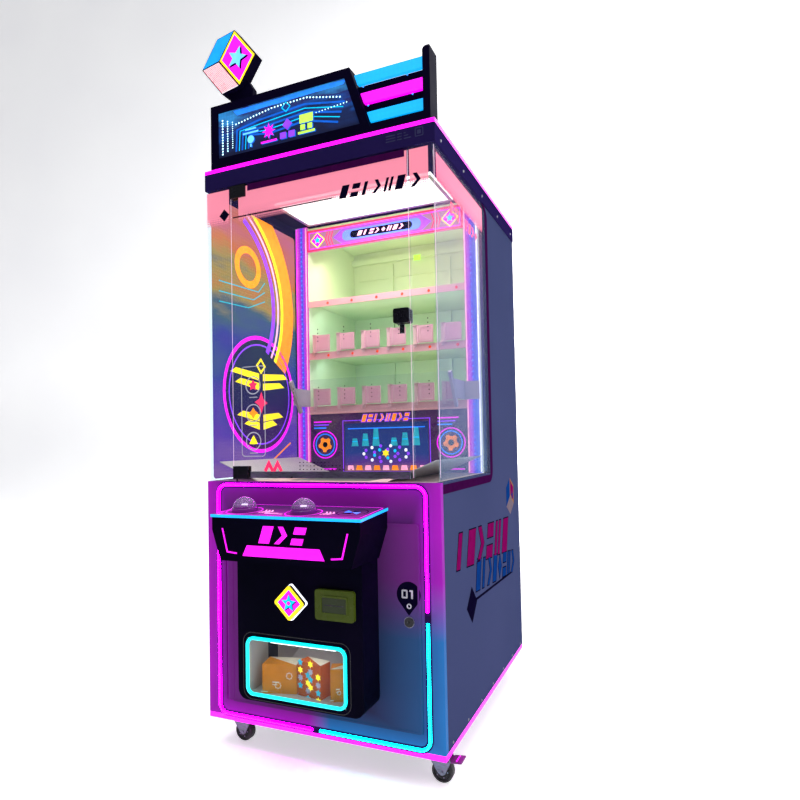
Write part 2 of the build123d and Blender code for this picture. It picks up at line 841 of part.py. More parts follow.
def control_box():
    """Hollow control box, narrower at its foot, open on top under the plate."""
    front = [
        (-box_half_width, lo(box_rear_top) + 40),
        (-box_half_width, lo(box_knee)),
        (-box_foot_half_width, lo(box_foot)),
        (box_foot_half_width, lo(box_foot)),
        (box_half_width, lo(box_knee)),
        (box_half_width, lo(box_rear_top) + 40),
    ]
    outer = slab_xz(front, (box_front, box_rear))
    plane = Plane((0, box_rear - box_wall, 0), x_dir=(1, 0, 0), z_dir=(0, -1, 0))
    face = offset(plane * Polygon(*front, align=None), -box_wall, kind=Kind.INTERSECTION)
    inner = extrude(face, box_rear - box_front - 2 * box_wall, dir=(0, -1, 0))
    outer -= inner
    top = [
        (box_front, box_top(box_front)),
        (box_rear, box_top(box_rear)),
        (box_rear, lo(box_rear_top) + 80),
        (box_front, lo(box_rear_top) + 80),
    ]
    return outer - slab_yz(top, (-box_half_width, box_half_width))


def button_place(x):
    """Place on the plate's top face at a button's axis, with Z along the button."""
    y = box_front + button_setback
    lift = plate_thick / cos(radians(box_slope))
    return Pos(x, y, box_top(y) + lift) * Rot(box_slope, 0, 0)


def control_plate():
    """Clear-edged plate on the control box with the button bezels."""
    front = box_front - plate_overhang
    lift = plate_thick / cos(radians(box_slope))
    points = [
        (front, box_top(front)),
        (box_rear, box_top(box_rear)),
        (box_rear, box_top(box_rear) + lift),
        (front, box_top(front) + lift),
    ]
    wide = box_half_width + plate_overhang
    plate = slab_yz(points, (-wide, wide))
    bezels = []
    for x in button_xs:
        place = button_place(x)
        plate -= place * Cylinder(button_stem_radius + 1, 4 * plate_thick)
        ring = Cylinder(button_radius + bezel_width, bezel_height) - Cylinder(button_radius, bezel_height)
        bezels.append(place * Pos(0, 0, bezel_height / 2) * ring)
    return [plate] + bezels


def dome_button(x):
    """Dome button: skirt running in its bezel, dome, stem and retaining ring."""
    radius = button_radius - pin_clear
    foot = button_travel + 1
    skirt = Pos(0, 0, foot + button_skirt / 2) * Cylinder(radius, button_skirt)
    ball = (radius**2 + button_dome**2) / (2 * button_dome)
    top = foot + button_skirt
    dome = Pos(0, 0, top + button_dome - ball) * Sphere(ball)
    dome &= Pos(0, 0, top + ball) * Box(4 * radius, 4 * radius, 2 * ball)
    stem_foot = foot - button_stem_length
    stem = Pos(0, 0, (foot + stem_foot) / 2) * Cylinder(button_stem_radius, button_stem_length)
    clip_top = -plate_thick - loose
    clip = Pos(0, 0, clip_top - 1.5) * Cylinder(button_stem_radius + 5, 3)
    return button_place(x) * (skirt + dome + stem + clip)


# ---- showcase inside ----------------------------------------------------------------------------
def showcase_floor():
    """Floor plate with the prize drop cut in it."""
    z = (z_glass - floor_thick, z_glass)
    plate = block((-inner_half, inner_half), (back(panel_depth), y_rear - panel_depth), z)
    return plate - block((-drop_half_width, drop_half_width), (back(drop_front), back(drop_rear)), z)


def prize_chute():
    """Chute below the drop, and the two sloped wings above the floor."""
    top = z_glass - floor_thick
    x = (-drop_half_width - sheet, drop_half_width + sheet)
    front = (back(drop_front) - sheet, back(drop_front))
    rear = (back(drop_rear), back(drop_rear) + sheet)
    ramp_rear = lo(chute_ramp_rear)
    ramp_front = lo(chute_ramp_front)
    chute = block(x, front, (lo(chute_front_foot), top))
    chute += block(x, rear, (ramp_rear, top))
    ramp = [
        (back(chute_front_edge), ramp_front),
        (rear[1], ramp_rear),
        (rear[1], ramp_rear + sheet),
        (back(chute_front_edge), ramp_front + sheet),
    ]
    chute += slab_yz(ramp, x)
    side = [
        (back(chute_front_edge), ramp_front),
        (rear[1], ramp_rear),
        (rear[1], top),
        (front[0], top),
        (front[0], lo(chute_front_foot)),
        (back(chute_front_edge), lo(chute_front_foot)),
    ]
    chute += slab_yz(side, (x[0], x[0] + sheet))
    chute += slab_yz(side, (x[1] - sheet, x[1]))
    wings = []
    for sign in (-1, 1):
        points = [
            (sign * wing_inner, z_glass),
            (sign * wing_outer, z_glass + wing_rise - sheet),
            (sign * wing_outer, z_glass + wing_rise),
            (sign * wing_inner, z_glass + sheet),
        ]
        wings.append(slab_xz(points, (back(wing_front), y_back_plane - column_thick)))
    return [chute] + wings


def shelf_liner():
    """Shelf compartment: side walls, rear wall with a cable trunk, and front flanges."""
    z = (up(shelf_tops[0] - shelf_rails[0]), z_ceiling)
    liner = block(
        (-bay_half_width - sheet, bay_half_width + sheet), (back(bay_rear), back(bay_rear) + sheet), z
    )
    trunk_y = (back(bay_rear) - trunk_depth, back(bay_rear))
    trunk_z = (z_ceiling - trunk_drop, z_ceiling - trunk_drop + trunk_height)
    liner += block((-bay_half_width, bay_half_width), trunk_y, trunk_z)
    for sign in (-1, 1):
        wall = (sign * bay_half_width, sign * (bay_half_width + sheet))
        flange = (sign * bay_half_width, sign * inner_half)
        liner += block((min(wall), max(wall)), (y_back_plane, back(bay_rear) + sheet), z)
        liner += block(
            (min(flange), max(flange)), (y_back_plane, y_back_plane + sheet), (z_glass, z_ceiling)
        )
    return liner


def display_shelves():
    """Three shelves with their front rails."""
    shelves = []
    x = (-bay_half_width, bay_half_width)
    for top, rail in zip(shelf_tops, shelf_rails):
        shelf = block(x, (y_back_plane - shelf_rail_thick, y_back_plane), (up(top - rail), up(top)))
        surface = up(top - shelf_drop)
        shelf += block(x, (y_back_plane, back(bay_rear)), (surface - shelf_thick, surface))
        shelves.append(shelf)
    return shelves


gate_y = y_back_plane - shelf_rail_thick - bracket_thick - gate_thick / 2 - 0.5


def gate_hinge(column):
    """Distance of a lane gate's hinge from the middle."""
    return lane_first + column * lane_pitch


def lane_brackets():
    """Hinge bracket of every gate, and the arms that hold the clear baffle."""
    solids = []
    rail_face = y_back_plane - shelf_rail_thick
    for top in shelf_tops[:2]:
        for column in range(lane_count):
            solids.append(lane_bracket(gate_hinge(column), up(top), rail_face))
    for sign in (-1, 1):
        solids.append(baffle_arm(sign))
    return solids


def lane_bracket(x, z, rail_face):
    """One bracket: strip on the rail, leg over the shelf, two ears and the gate's pin."""
    head = z + 2 * gate_lift + gate_height
    strip_x = (x - gate_barrel_radius - 2 - bracket_strip, x - gate_barrel_radius - 2)
    bracket = block(strip_x, (rail_face - bracket_thick, rail_face), (z - bracket_below, head))
    bracket += block(
        (strip_x[0], strip_x[0] + bracket_thick), (rail_face, rail_face + bracket_leg), (z, head)
    )
    ear = 2.0
    for foot in (z, head - ear):
        bracket += block(
            (strip_x[0], x + gate_barrel_radius),
            (gate_y - gate_barrel_radius, rail_face),
            (foot, foot + ear),
        )
    return bracket + rod_z(gate_pin_radius, x, gate_y, (z, head))


def lane_gate(column, top):
    """One gate: plate and hinge barrel, running on its bracket's pin."""
    x = gate_hinge(column)
    z = (up(top) + gate_lift, up(top) + gate_lift + gate_height)
    gate = block((x, x + gate_width), (gate_y - gate_thick / 2, gate_y + gate_thick / 2), z)
    gate += rod_z(gate_barrel_radius, x, gate_y, z)
    return gate - rod_z(gate_pin_radius + pin_clear, x, gate_y, z)


def slanted(width, shift=0.0):
    """Strip along the baffle's line, drawn from the side; shift moves it square to the line."""
    y = (back(arm_top[0]), back(arm_foot[0]))
    z = (up(arm_top[1]), up(arm_foot[1]))
    length = ((y[1] - y[0]) ** 2 + (z[1] - z[0]) ** 2) ** 0.5
    across = ((z[0] - z[1]) / length, (y[1] - y[0]) / length)
    near = shift - width / 2
    far = shift + width / 2
    return [
        (y[0] + across[0] * near, z[0] + across[1] * near),
        (y[1] + across[0] * near, z[1] + across[1] * near),
        (y[1] + across[0] * far, z[1] + across[1] * far),
        (y[0] + across[0] * far, z[0] + across[1] * far),
    ]


def baffle_arm(sign):
    """Slanted arm, its side plate and the flange on the light column."""
    z = (up(arm_plate_foot), up(arm_plate_head))
    front = y_back_plane - column_thick
    arm = (sign * arm_inside, sign * (arm_inside + arm_thick))
    plate = (sign * (arm_inside + arm_thick), sign * (arm_inside + arm_thick + sheet))
    flange = (sign * (arm_inside + arm_thick), sign * (column_outer - 4))
    solid = slab_yz(slanted(arm_width), (min(arm), max(arm)))
    solid += block((min(plate), max(plate)), (back(arm_top[0] + 26), front), z)
    solid += block((min(flange), max(flange)), (front - sheet, front), z)
    return solid


def clear_baffle():
    """Clear slanted sheet between the arms, and the clear guide bar on the right."""
    sheet_solid = slab_yz(slanted(baffle_thick), (-arm_inside, arm_inside))
    y = (y_back_plane - column_thick - guide_thick, y_back_plane - column_thick)
    points = [
        (guide_low[0], up(guide_low[1])),
        (guide_high[0], up(guide_high[1])),
        (guide_high[0], up(guide_high[1]) + guide_width),
        (guide_low[0], up(guide_low[1]) + guide_width),
    ]
    return sheet_solid, slab_xz(points, y)


def display_unit():
    """Printed surround with its window, and the screen behind it."""
    y = (y_back_plane, y_back_plane + sheet)
    z_top = up(shelf_tops[0] - shelf_rails[0])
    surround = block((-bay_half_width, bay_half_width), y, (z_glass, z_top))
    foot = z_glass + screen_foot
    window_x = (-screen_half_width, screen_half_width)
    surround -= block(window_x, y, (foot, foot + screen_height))
    edge = 8.0
    screen = block(
        (window_x[0] - edge, window_x[1] + edge),
        (y[1], y[1] + screen_depth),
        (foot - edge + 4, foot + screen_height + edge),
    )
    return surround, screen


def header_banner():
    """Light box across the top of the shelf compartment."""
    y = (y_back_plane - banner_thick, y_back_plane)
    z = (z_ceiling - banner_drop, z_ceiling - banner_drop + banner_height)
    return block((-bay_half_width, bay_half_width), y, z)


def interior_lights():
    """Two light columns at the window's rear edge, and the ceiling light."""
    y = (y_back_plane - column_thick, y_back_plane)
    z = (z_glass, z_ceiling)
    right = block((bay_half_width, column_outer), y, z)
    left = block((-column_outer, -bay_half_width), y, z)
    panel = block(
        (-ceiling_light_half, ceiling_light_half),
        (back(ceiling_light_front), back(ceiling_light_rear)),
        (z_ceiling - ceiling_light_thick, z_ceiling),
    )
    return left, right, panel


# ---- electrics ----------------------------------------------------------------------------------
def electronics_box():
    """Steel case for the control board and the power supply."""
    x = (box_tray_left, box_tray_left + box_tray[0])
    y = (back(box_tray_front), back(box_tray_front) + box_tray[1])
    z = (z_base + base_strip_height, z_base + base_strip_height + box_tray[2])
    case = block(x, y, z)
    return case - block(
        (x[0] + sheet, x[1] - sheet), (y[0] + sheet, y[1] - sheet), (z[0] + sheet, z[1] - sheet)
    )


def power_inlet():
    """Mains inlet in the rear panel."""
    z = (lo(inlet_foot), lo(inlet_foot) + inlet_height)
    x = (vent_x - inlet_width / 2, vent_x + inlet_width / 2)
    inlet = block(x, (y_rear - inlet_depth, y_rear), z)
    grow = 6.0
    inlet += block(
        (x[0] - grow, x[1] + grow), (y_rear, y_rear + inlet_flange), (z[0] - grow, z[1] + grow)
    )
    socket = block((x[0] + 8, x[1] - 8), (y_rear - 16, y_rear + inlet_flange), (z[0] + 5, z[1] - 5))
    return inlet - socket


# ---- topper -------------------------------------------------------------------------------------
topper_front = y_front + head_setback
z_sign_top = z_roof + topper_height


def slant_x(z):
    """X of the sign box's slanted right edge at height z."""
    share = (z - z_roof) / topper_height
    return sign_right_foot + share * (sign_right_top - sign_right_foot)


def sign_window(inset):
    """Outline of the sign box's window, inset by a gap."""
    z = (z_roof + sign_frame_foot + inset, z_sign_top - sign_frame_top - inset)
    x = sign_left + sign_frame_side + inset
    return [
        (x, z[0]),
        (x, z[1]),
        (slant_x(z[1]) - sign_frame_side - inset, z[1]),
        (slant_x(z[0]) - sign_frame_side - inset, z[0]),
    ]


def topper_frame():
    """Sign box, foot beam, board behind the bars and end post."""
    y = (topper_front, topper_front + topper_depth)
    outline = [
        (sign_left, z_roof),
        (sign_left, z_sign_top),
        (sign_right_top, z_sign_top),
        (sign_right_foot, z_roof),
    ]
    frame = slab_xz(outline, y)
    frame -= slab_xz(sign_window(0), (y[0], y[0] + sign_pocket))
    post = block((post_left, post_left + post_width), y, (z_roof, z_sign_top))
    corner = post.edges().filter_by(Axis.Y).group_by(Axis.Z)[-1].sort_by(Axis.X)[0]
    frame += fillet(corner, post_corner)
    frame += block((slant_x(z_roof) - 5, post_left), y, (z_roof, z_roof + bar_first - 8))
    board_y = (y[0] + bar_setback + bar_proud, y[0] + bar_setback + bar_proud + board_thick)
    board_top = z_roof + bar_first + 2 * bar_pitch
    board = [
        (slant_x(z_roof) - 2, z_roof),
        (slant_x(board_top) - 2, board_top),
        (post_left, board_top),
        (post_left, z_roof),
    ]
    return frame + slab_xz(board, board_y)


def topper_panels():
    """Window pane of the sign box and the three light bars."""
    pane = slab_xz(
        sign_window(0.5),
        (topper_front + sign_glass_back, topper_front + sign_glass_back + 4),
    )
    solids = [pane]
    for row in range(3):
        foot = z_roof + bar_first + row * bar_pitch
        head = foot + bar_height
        points = [
            (slant_x(foot) + 4, foot),
            (slant_x(head) + 4, head),
            (post_left, head),
            (post_left, foot),
        ]
        depth = (topper_front + bar_setback, topper_front + bar_setback + bar_proud)
        solids.append(slab_xz(points, depth))
    return solids


def cube_sign():
    """Hexagonal light box shaped like a cube's outline, and its neck."""
    def corner(*steps):
        x = cube_top[0] + sum(step[0] for step in steps)
        z = z_roof + cube_top[1] + sum(step[1] for step in steps)
        return (x, z)

    outline = [
        corner(),
        corner(cube_edge_right),
        corner(cube_edge_down, cube_edge_right),
        corner(cube_edge_down, cube_edge_right, cube_edge_back),
        corner(cube_edge_down, cube_edge_back),
        corner(cube_edge_back),
    ]
    case = slab_xz(outline, (y_front, y_front + cube_depth))
    neck_y = (y_front + cube_depth - neck_thick, y_front + cube_depth)
    neck = [
        (neck_left, z_sign_top),
        (neck_right, z_sign_top),
        (neck_right, z_sign_top + neck_height / 2),
        (neck_right - 20, z_sign_top + neck_height),
        (neck_left - 30, z_sign_top + neck_height),
    ]
    return case + slab_xz(neck, neck_y)


# ---- export -------------------------------------------------------------------------------------
os.makedirs("parts", exist_ok=True)

save("base_frame", base_frame())
for spot, x, y, turn in caster_spots:
    place = Pos(x, y, 0) * Rot(0, 0, turn)
    braked = spot.startswith("front")
    save(f"caster_fork_{spot}", place * caster_fork(braked))
    save(f"caster_wheel_{spot}", place * caster_wheel())
    if braked:
        save(f"brake_pedal_{spot}", place * caster_pedal())

save("side_panel_left", side_panel(-1))
save("side_panel_right", side_panel(1))
save("front_frame", front_frame())
save("rear_panel", rear_panel())
save("rear_door", rear_door())
save("head_band", head_band())
save("light_strips", *light_strips())

save("side_glass", *side_glass())
save("front_glass_strips", *front_glass_strips())
save("glass_door", *glass_door())
save("glass_lock", glass_lock())

save("service_door", service_door())
save("door_lock", door_lock())
save("door_console", door_console())
save("prize_flap", prize_flap())
save("outlet_light_ring", outlet_light_ring())
save("bill_unit", bill_unit())
save("diamond_sign", *diamond_sign())
save("prize_boxes", *prize_cartons())
save("control_box", control_box())
save("control_plate", *control_plate())
save("button_left", dome_button(button_xs[0]))
save("button_right", dome_button(button_xs[1]))

save("showcase_floor", showcase_floor())
save("prize_chute", *prize_chute())
save("shelf_liner", shelf_liner())
save("display_shelves", *display_shelves())
save("lane_brackets", *lane_brackets())
for level, top in (("lower", shelf_tops[0]), ("upper", shelf_tops[1])):
    for column in range(lane_count):
        save(f"gate_{level}_{column + 1}", lane_gate(column, top))
save("clear_baffle", *clear_baffle())
save("display_unit", *display_unit())
save("header_banner", header_banner())
save("interior_lights", *interior_lights())

save("electronics_box", electronics_box())
save("power_inlet", power_inlet())

save("topper_frame", topper_frame())
save("topper_panels", *topper_panels())
save("cube_sign", cube_sign())
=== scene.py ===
"""Finished looks of an upright prize cabinet: window bay, service door, control desk and lit sign box.

Each finish is a frozen dataclass that makes one material. Each sub-assembly is a
class whose fields are its sizes and whose methods build and dress its pieces.
Lengths are metres in the cabinet's frame: x to the right, y to the back, z up.
"""

import json
import logging
import math
from dataclasses import dataclass
from enum import Enum
from typing import Callable, Protocol, Sequence

import bmesh
import bpy
from mathutils import Matrix, Vector

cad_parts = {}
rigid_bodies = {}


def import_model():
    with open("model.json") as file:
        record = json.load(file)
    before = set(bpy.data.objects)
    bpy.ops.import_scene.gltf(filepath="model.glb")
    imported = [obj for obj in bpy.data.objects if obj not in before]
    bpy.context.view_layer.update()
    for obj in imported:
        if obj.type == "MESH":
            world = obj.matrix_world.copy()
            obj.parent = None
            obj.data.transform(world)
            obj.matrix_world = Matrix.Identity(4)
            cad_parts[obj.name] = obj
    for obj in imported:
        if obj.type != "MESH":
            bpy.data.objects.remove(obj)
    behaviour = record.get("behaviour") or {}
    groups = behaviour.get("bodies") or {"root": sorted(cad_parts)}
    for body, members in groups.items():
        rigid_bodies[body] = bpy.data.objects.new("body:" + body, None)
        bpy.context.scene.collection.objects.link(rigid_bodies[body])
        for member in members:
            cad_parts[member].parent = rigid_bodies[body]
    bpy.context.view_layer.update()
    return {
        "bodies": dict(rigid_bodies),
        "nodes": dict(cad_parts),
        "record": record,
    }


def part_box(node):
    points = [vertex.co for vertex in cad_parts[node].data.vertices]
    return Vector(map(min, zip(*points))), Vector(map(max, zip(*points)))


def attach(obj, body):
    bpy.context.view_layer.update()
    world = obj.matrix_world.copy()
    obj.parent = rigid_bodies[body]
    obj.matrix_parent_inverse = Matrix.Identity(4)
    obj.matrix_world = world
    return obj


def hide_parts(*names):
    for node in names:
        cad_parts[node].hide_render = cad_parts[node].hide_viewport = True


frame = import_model()
LOG = logging.getLogger("prize_cabinet")

Point = tuple[float, float]
Loop = list[Point]
Stops = Sequence[tuple[float, tuple[float, float, float, float]]]


# ---------------------------------------------------------------- shaders


class Shader:
    """One node material while it is being put together."""

    def __init__(self, name: str) -> None:
        """Starts an empty material.

        Args:
            name: The material's name.
        """
        self.material = bpy.data.materials.new(name)
        self.material.use_nodes = True
        self.tree = self.material.node_tree
        self.tree.nodes.clear()
        self.output = self.add("ShaderNodeOutputMaterial")
        self.place = self.add("ShaderNodeTexCoord").outputs["Object"]

    def add(self, kind: str, **settings: object) -> bpy.types.Node:
        """Adds a node.

        Args:
            kind: Blender's name for the node type.
            **settings: Properties to set on the node.

        Returns:
            The new node.
        """
        node = self.tree.nodes.new(kind)
        for key, value in settings.items():
            setattr(node, key, value)
        return node

    def feed(self, socket: bpy.types.NodeSocket, value: object) -> None:
        """Links a socket, or sets its constant.

        Args:
            socket: The input to fill.
            value: An output socket, or a plain number, colour or vector.
        """
        if isinstance(value, bpy.types.NodeSocket):
            self.tree.links.new(value, socket)
        else:
            socket.default_value = value

    def noise(self, scale: float, detail: float = 3.0, stretch: tuple[float, float, float] = (1, 1, 1)) -> bpy.types.NodeSocket:
        """Makes a noise field fixed to the piece.

        Args:
            scale: Waves in a metre.
            detail: Octaves of finer noise.
            stretch: Extra scale along each axis.

        Returns:
            The noise value, around 0.5.
        """
        mapping = self.add("ShaderNodeMapping")
        mapping.inputs["Scale"].default_value = stretch
        self.feed(mapping.inputs["Vector"], self.place)
        node = self.add("ShaderNodeTexNoise")
        node.inputs["Scale"].default_value = scale
        node.inputs["Detail"].default_value = detail
        self.feed(node.inputs["Vector"], mapping.outputs["Vector"])
        return node.outputs["Fac"]

    def cells(self, scale: float, stretch: tuple[float, float, float] = (1, 1, 1)) -> bpy.types.NodeSocket:
        """Makes an even lattice of cells and gives the distance from each cell's middle.

        Args:
            scale: Cells in a metre.
            stretch: Extra scale along each axis.

        Returns:
            The distance, from 0 in a cell's middle.
        """
        mapping = self.add("ShaderNodeMapping")
        mapping.inputs["Scale"].default_value = stretch
        self.feed(mapping.inputs["Vector"], self.place)
        node = self.add("ShaderNodeTexVoronoi")
        node.inputs["Scale"].default_value = scale
        node.inputs["Randomness"].default_value = 0.0
        self.feed(node.inputs["Vector"], mapping.outputs["Vector"])
        return node.outputs["Distance"]

    def axis(self, name: str) -> bpy.types.NodeSocket:
        """Gives the place along one axis.

        Args:
            name: X, Y or Z.

        Returns:
            The coordinate in metres.
        """
        split = self.add("ShaderNodeSeparateXYZ")
        self.feed(split.inputs[0], self.place)
        return split.outputs[name]

    def math(self, operation: str, first: object, second: object = 0.0) -> bpy.types.NodeSocket:
        """Does one sum.

        Args:
            operation: Blender's name for the operation.
            first: The first number or socket.
            second: The second number or socket.

        Returns:
            The result.
        """
        node = self.add("ShaderNodeMath", operation=operation)
        self.feed(node.inputs[0], first)
        self.feed(node.inputs[1], second)
        return node.outputs[0]

    def span(self, value: object, low: float, high: float, first: float = 0.0, last: float = 1.0) -> bpy.types.NodeSocket:
        """Maps a value from one range to another and clamps it.

        Args:
            value: The value to map.
            low: The value that gives first.
            high: The value that gives last.
            first: The result at low.
            last: The result at high.

        Returns:
            The mapped value.
        """
        node = self.add("ShaderNodeMapRange")
        for socket, given in zip(node.inputs[:5], (value, low, high, first, last)):
            self.feed(socket, given)
        return node.outputs[0]

    def ramp(self, value: object, stops: Stops, hard: bool = False) -> bpy.types.NodeSocket:
        """Runs a value through a colour ramp.

        Args:
            value: The value, from 0 to 1.
            stops: Positions and colours.
            hard: Whether colours change in steps.

        Returns:
            The colour.
        """
        node = self.add("ShaderNodeValToRGB")
        band = node.color_ramp
        band.interpolation = "CONSTANT" if hard else "LINEAR"
        while len(band.elements) < len(stops):
            band.elements.new(1.0)
        for element, (position, colour) in zip(band.elements, stops):
            element.position = position
            element.color = colour
        self.feed(node.inputs[0], value)
        return node.outputs[0]

    def bump(self, height: object, strength: float, distance: float) -> bpy.types.NodeSocket:
        """Makes a bumped normal.

        Args:
            height: The height field.
            strength: How much of it shows.
            distance: The relief in metres.

        Returns:
            The normal.
        """
        node = self.add("ShaderNodeBump")
        node.inputs["Strength"].default_value = strength
        node.inputs["Distance"].default_value = distance
        self.feed(node.inputs["Height"], height)
        return node.outputs["Normal"]

    def surface(self, **values: object) -> bpy.types.Node:
        """Adds the main surface shader.

        Args:
            **values: Inputs by name, with underscores for spaces.

        Returns:
            The shader node.
        """
        node = self.add("ShaderNodeBsdfPrincipled")
        for key, value in values.items():
            self.feed(node.inputs[key.replace("_", " ")], value)
        return node

    def close(self, shader: bpy.types.Node) -> bpy.types.Material:
        """Joins the last shader to the output.

        Args:
            shader: The shader node to show.

        Returns:
            The finished material.
        """
        self.tree.links.new(shader.outputs[0], self.output.inputs["Surface"])
        return self.material


class Finish(Protocol):
    """Anything that can make a material."""

    name: str

    def material(self) -> bpy.types.Material:
        """Builds the material."""


@dataclass(frozen=True)
class CoatedSteel:
    """Powder-coated sheet: orange peel, a slow drift of tint, and rubbed scuffs low down."""

    name: str
    colour: tuple[float, float, float, float]
    drift: tuple[float, float, float, float]
    roughness: float = 0.42
    peel: float = 0.22
    metallic: float = 0.0
    scuff_height: float = 0.0
    shine: float = 0.35

    def material(self) -> bpy.types.Material:
        """Builds the coat with its peel, tint drift and scuffs."""
        shader = Shader(self.name)
        tint = shader.ramp(shader.noise(1.6, 2.0), ((0.3, self.colour), (0.75, self.drift)))
        if self.scuff_height > 0:
            scuff = shader.noise(34.0, 6.0, (1.0, 1.0, 0.14))
            low = shader.span(shader.axis("Z"), self.scuff_height, 0.0, 0.0, 1.0)
            worn = shader.math("MULTIPLY", shader.span(scuff, 0.62, 0.72), low)
            mix = shader.add("ShaderNodeMix", data_type="RGBA")
            shader.feed(mix.inputs["Factor"], shader.math("MULTIPLY", worn, 0.2))
            shader.feed(mix.inputs["A"], tint)
            shader.feed(mix.inputs["B"], (0.32, 0.31, 0.36, 1.0))
            tint = mix.outputs["Result"]
        rough = shader.span(shader.noise(9.0, 6.0), 0.3, 0.7, self.roughness - 0.04, self.roughness + 0.06)
        height = shader.noise(420.0, 2.0)
        return shader.close(
            shader.surface(
                Base_Color=tint,
                Roughness=rough,
                Metallic=self.metallic,
                Specular_IOR_Level=self.shine,
                Normal=shader.bump(height, self.peel, 0.0006),
            )
        )


@dataclass(frozen=True)
class SpillSteel:
    """Coated steel beside the two-colour light loop: the coat carries the light that spills on it."""

    name: str
    colour: tuple[float, float, float, float]
    drift: tuple[float, float, float, float]
    inner: float
    outer: float
    strength: float
    turn_height: float = 0.47
    top: tuple[float, float] = (0.7, 0.84)
    foot: tuple[float, float] = (0.2, 0.1)

    def material(self) -> bpy.types.Material:
        """Builds the coat, then adds the warm spill and the cold spill."""
        shader = Shader(self.name)
        across, height = shader.axis("X"), shader.axis("Z")
        tint = shader.ramp(shader.noise(1.6, 2.0), ((0.3, self.colour), (0.75, self.drift)))
        skin = shader.surface(
            Base_Color=tint,
            Roughness=shader.span(shader.noise(9.0, 6.0), 0.3, 0.7, 0.38, 0.5),
            Specular_IOR_Level=0.01,
            Normal=shader.bump(shader.noise(420.0, 2.0), 0.15, 0.0006),
        )
        above = shader.span(height, self.turn_height - 0.06, self.turn_height + 0.1)
        below = shader.math("SUBTRACT", 1.0, above)
        right, left = shader.span(across, self.inner, self.outer), shader.span(across, -self.inner, -self.outer)
        head, foot = shader.span(height, *self.top), shader.span(height, *self.foot)
        on_right = shader.span(across, -0.03, 0.04)
        warm = shader.math("MAXIMUM", shader.math("MAXIMUM", left, shader.math("MULTIPLY", right, above)), shader.math("MULTIPLY", head, 0.45))
        warm = shader.math("MAXIMUM", warm, shader.math("MULTIPLY", foot, shader.math("SUBTRACT", 1.0, on_right)))
        cold = shader.math("MAXIMUM", shader.math("MULTIPLY", right, below), shader.math("MULTIPLY", foot, on_right))
        mottle = shader.span(shader.noise(3.0, 4.0), 0.3, 0.7, 0.75, 1.1)
        for colour, share in (((0.75, 0.0, 0.85, 1.0), warm), ((0.0, 0.3, 0.8, 1.0), cold)):
            spill, both = shader.add("ShaderNodeEmission"), shader.add("ShaderNodeAddShader")
            shader.feed(spill.inputs["Color"], colour)
            shader.feed(spill.inputs["Strength"], shader.math("MULTIPLY", shader.math("MULTIPLY", share, mottle), self.strength))
            shader.feed(both.inputs[0], skin.outputs[0])
            shader.feed(both.inputs[1], spill.outputs[0])
            skin = both
        return shader.close(skin)


@dataclass(frozen=True)
class MouldedPlastic:
    """Injection-moulded plastic: fine spark grain, cloudy gloss and a thin clear coat."""

    name: str
    colour: tuple[float, float, float, float]
    drift: tuple[float, float, float, float]
    roughness: float = 0.35
    grain: float = 0.2
    coat: float = 0.0
    glow: float = 0.0
    shine: float = 0.4

    def material(self) -> bpy.types.Material:
        """Builds the plastic with its grain and cloudy gloss."""
        shader = Shader(self.name)
        tint = shader.ramp(shader.noise(5.0, 4.0), ((0.32, self.colour), (0.7, self.drift)))
        rough = shader.span(shader.noise(24.0, 5.0), 0.3, 0.7, self.roughness - 0.08, self.roughness + 0.1)
        node = shader.surface(
            Base_Color=tint,
            Roughness=rough,
            Coat_Weight=self.coat,
            Specular_IOR_Level=self.shine,
            Normal=shader.bump(shader.noise(900.0, 2.0), self.grain, 0.0003),
        )
        if self.glow:
            shader.feed(node.inputs["Emission Color"], tint)
            node.inputs["Emission Strength"].default_value = self.glow
        return shader.close(node)


@dataclass(frozen=True)
class PlatedMetal:
    """Bare or plated metal with drawn grain, smudges and darker pits."""

    name: str
    colour: tuple[float, float, float, float]
    pit: tuple[float, float, float, float]
    roughness: float = 0.22

    def material(self) -> bpy.types.Material:
        """Builds the metal with its drawn grain."""
        shader = Shader(self.name)
        grain = shader.noise(60.0, 6.0, (1.0, 1.0, 9.0))
        rough = shader.span(shader.noise(18.0, 5.0), 0.3, 0.7, self.roughness - 0.08, self.roughness + 0.14)
        return shader.close(
            shader.surface(
                Base_Color=shader.ramp(grain, ((0.28, self.pit), (0.55, self.colour))),
                Metallic=1.0,
                Roughness=rough,
                Normal=shader.bump(grain, 0.12, 0.0004),
            )
        )


@dataclass(frozen=True)
class LitTube:
    """A lit diffuser: even milky glow with faint brighter spots over the lamps behind it."""

    name: str
    colour: tuple[float, float, float, float]
    strength: float
    lamps: float = 70.0

    def material(self) -> bpy.types.Material:
        """Builds the glow with its lamp spots and a satin skin."""
        shader = Shader(self.name)
        spots = shader.span(shader.cells(self.lamps), 0.0, 0.6, 1.12, 0.94)
        drift = shader.span(shader.noise(6.0), 0.3, 0.7, 0.93, 1.05)
        power = shader.math("MULTIPLY", shader.math("MULTIPLY", spots, drift), self.strength)
        return shader.close(
            shader.surface(
                Base_Color=tuple(0.5 * part for part in self.colour[:3]) + (1.0,),
                Roughness=0.45,
                Emission_Color=self.colour,
                Emission_Strength=power,
                Normal=shader.bump(shader.noise(300.0), 0.08, 0.0004),
            )
        )


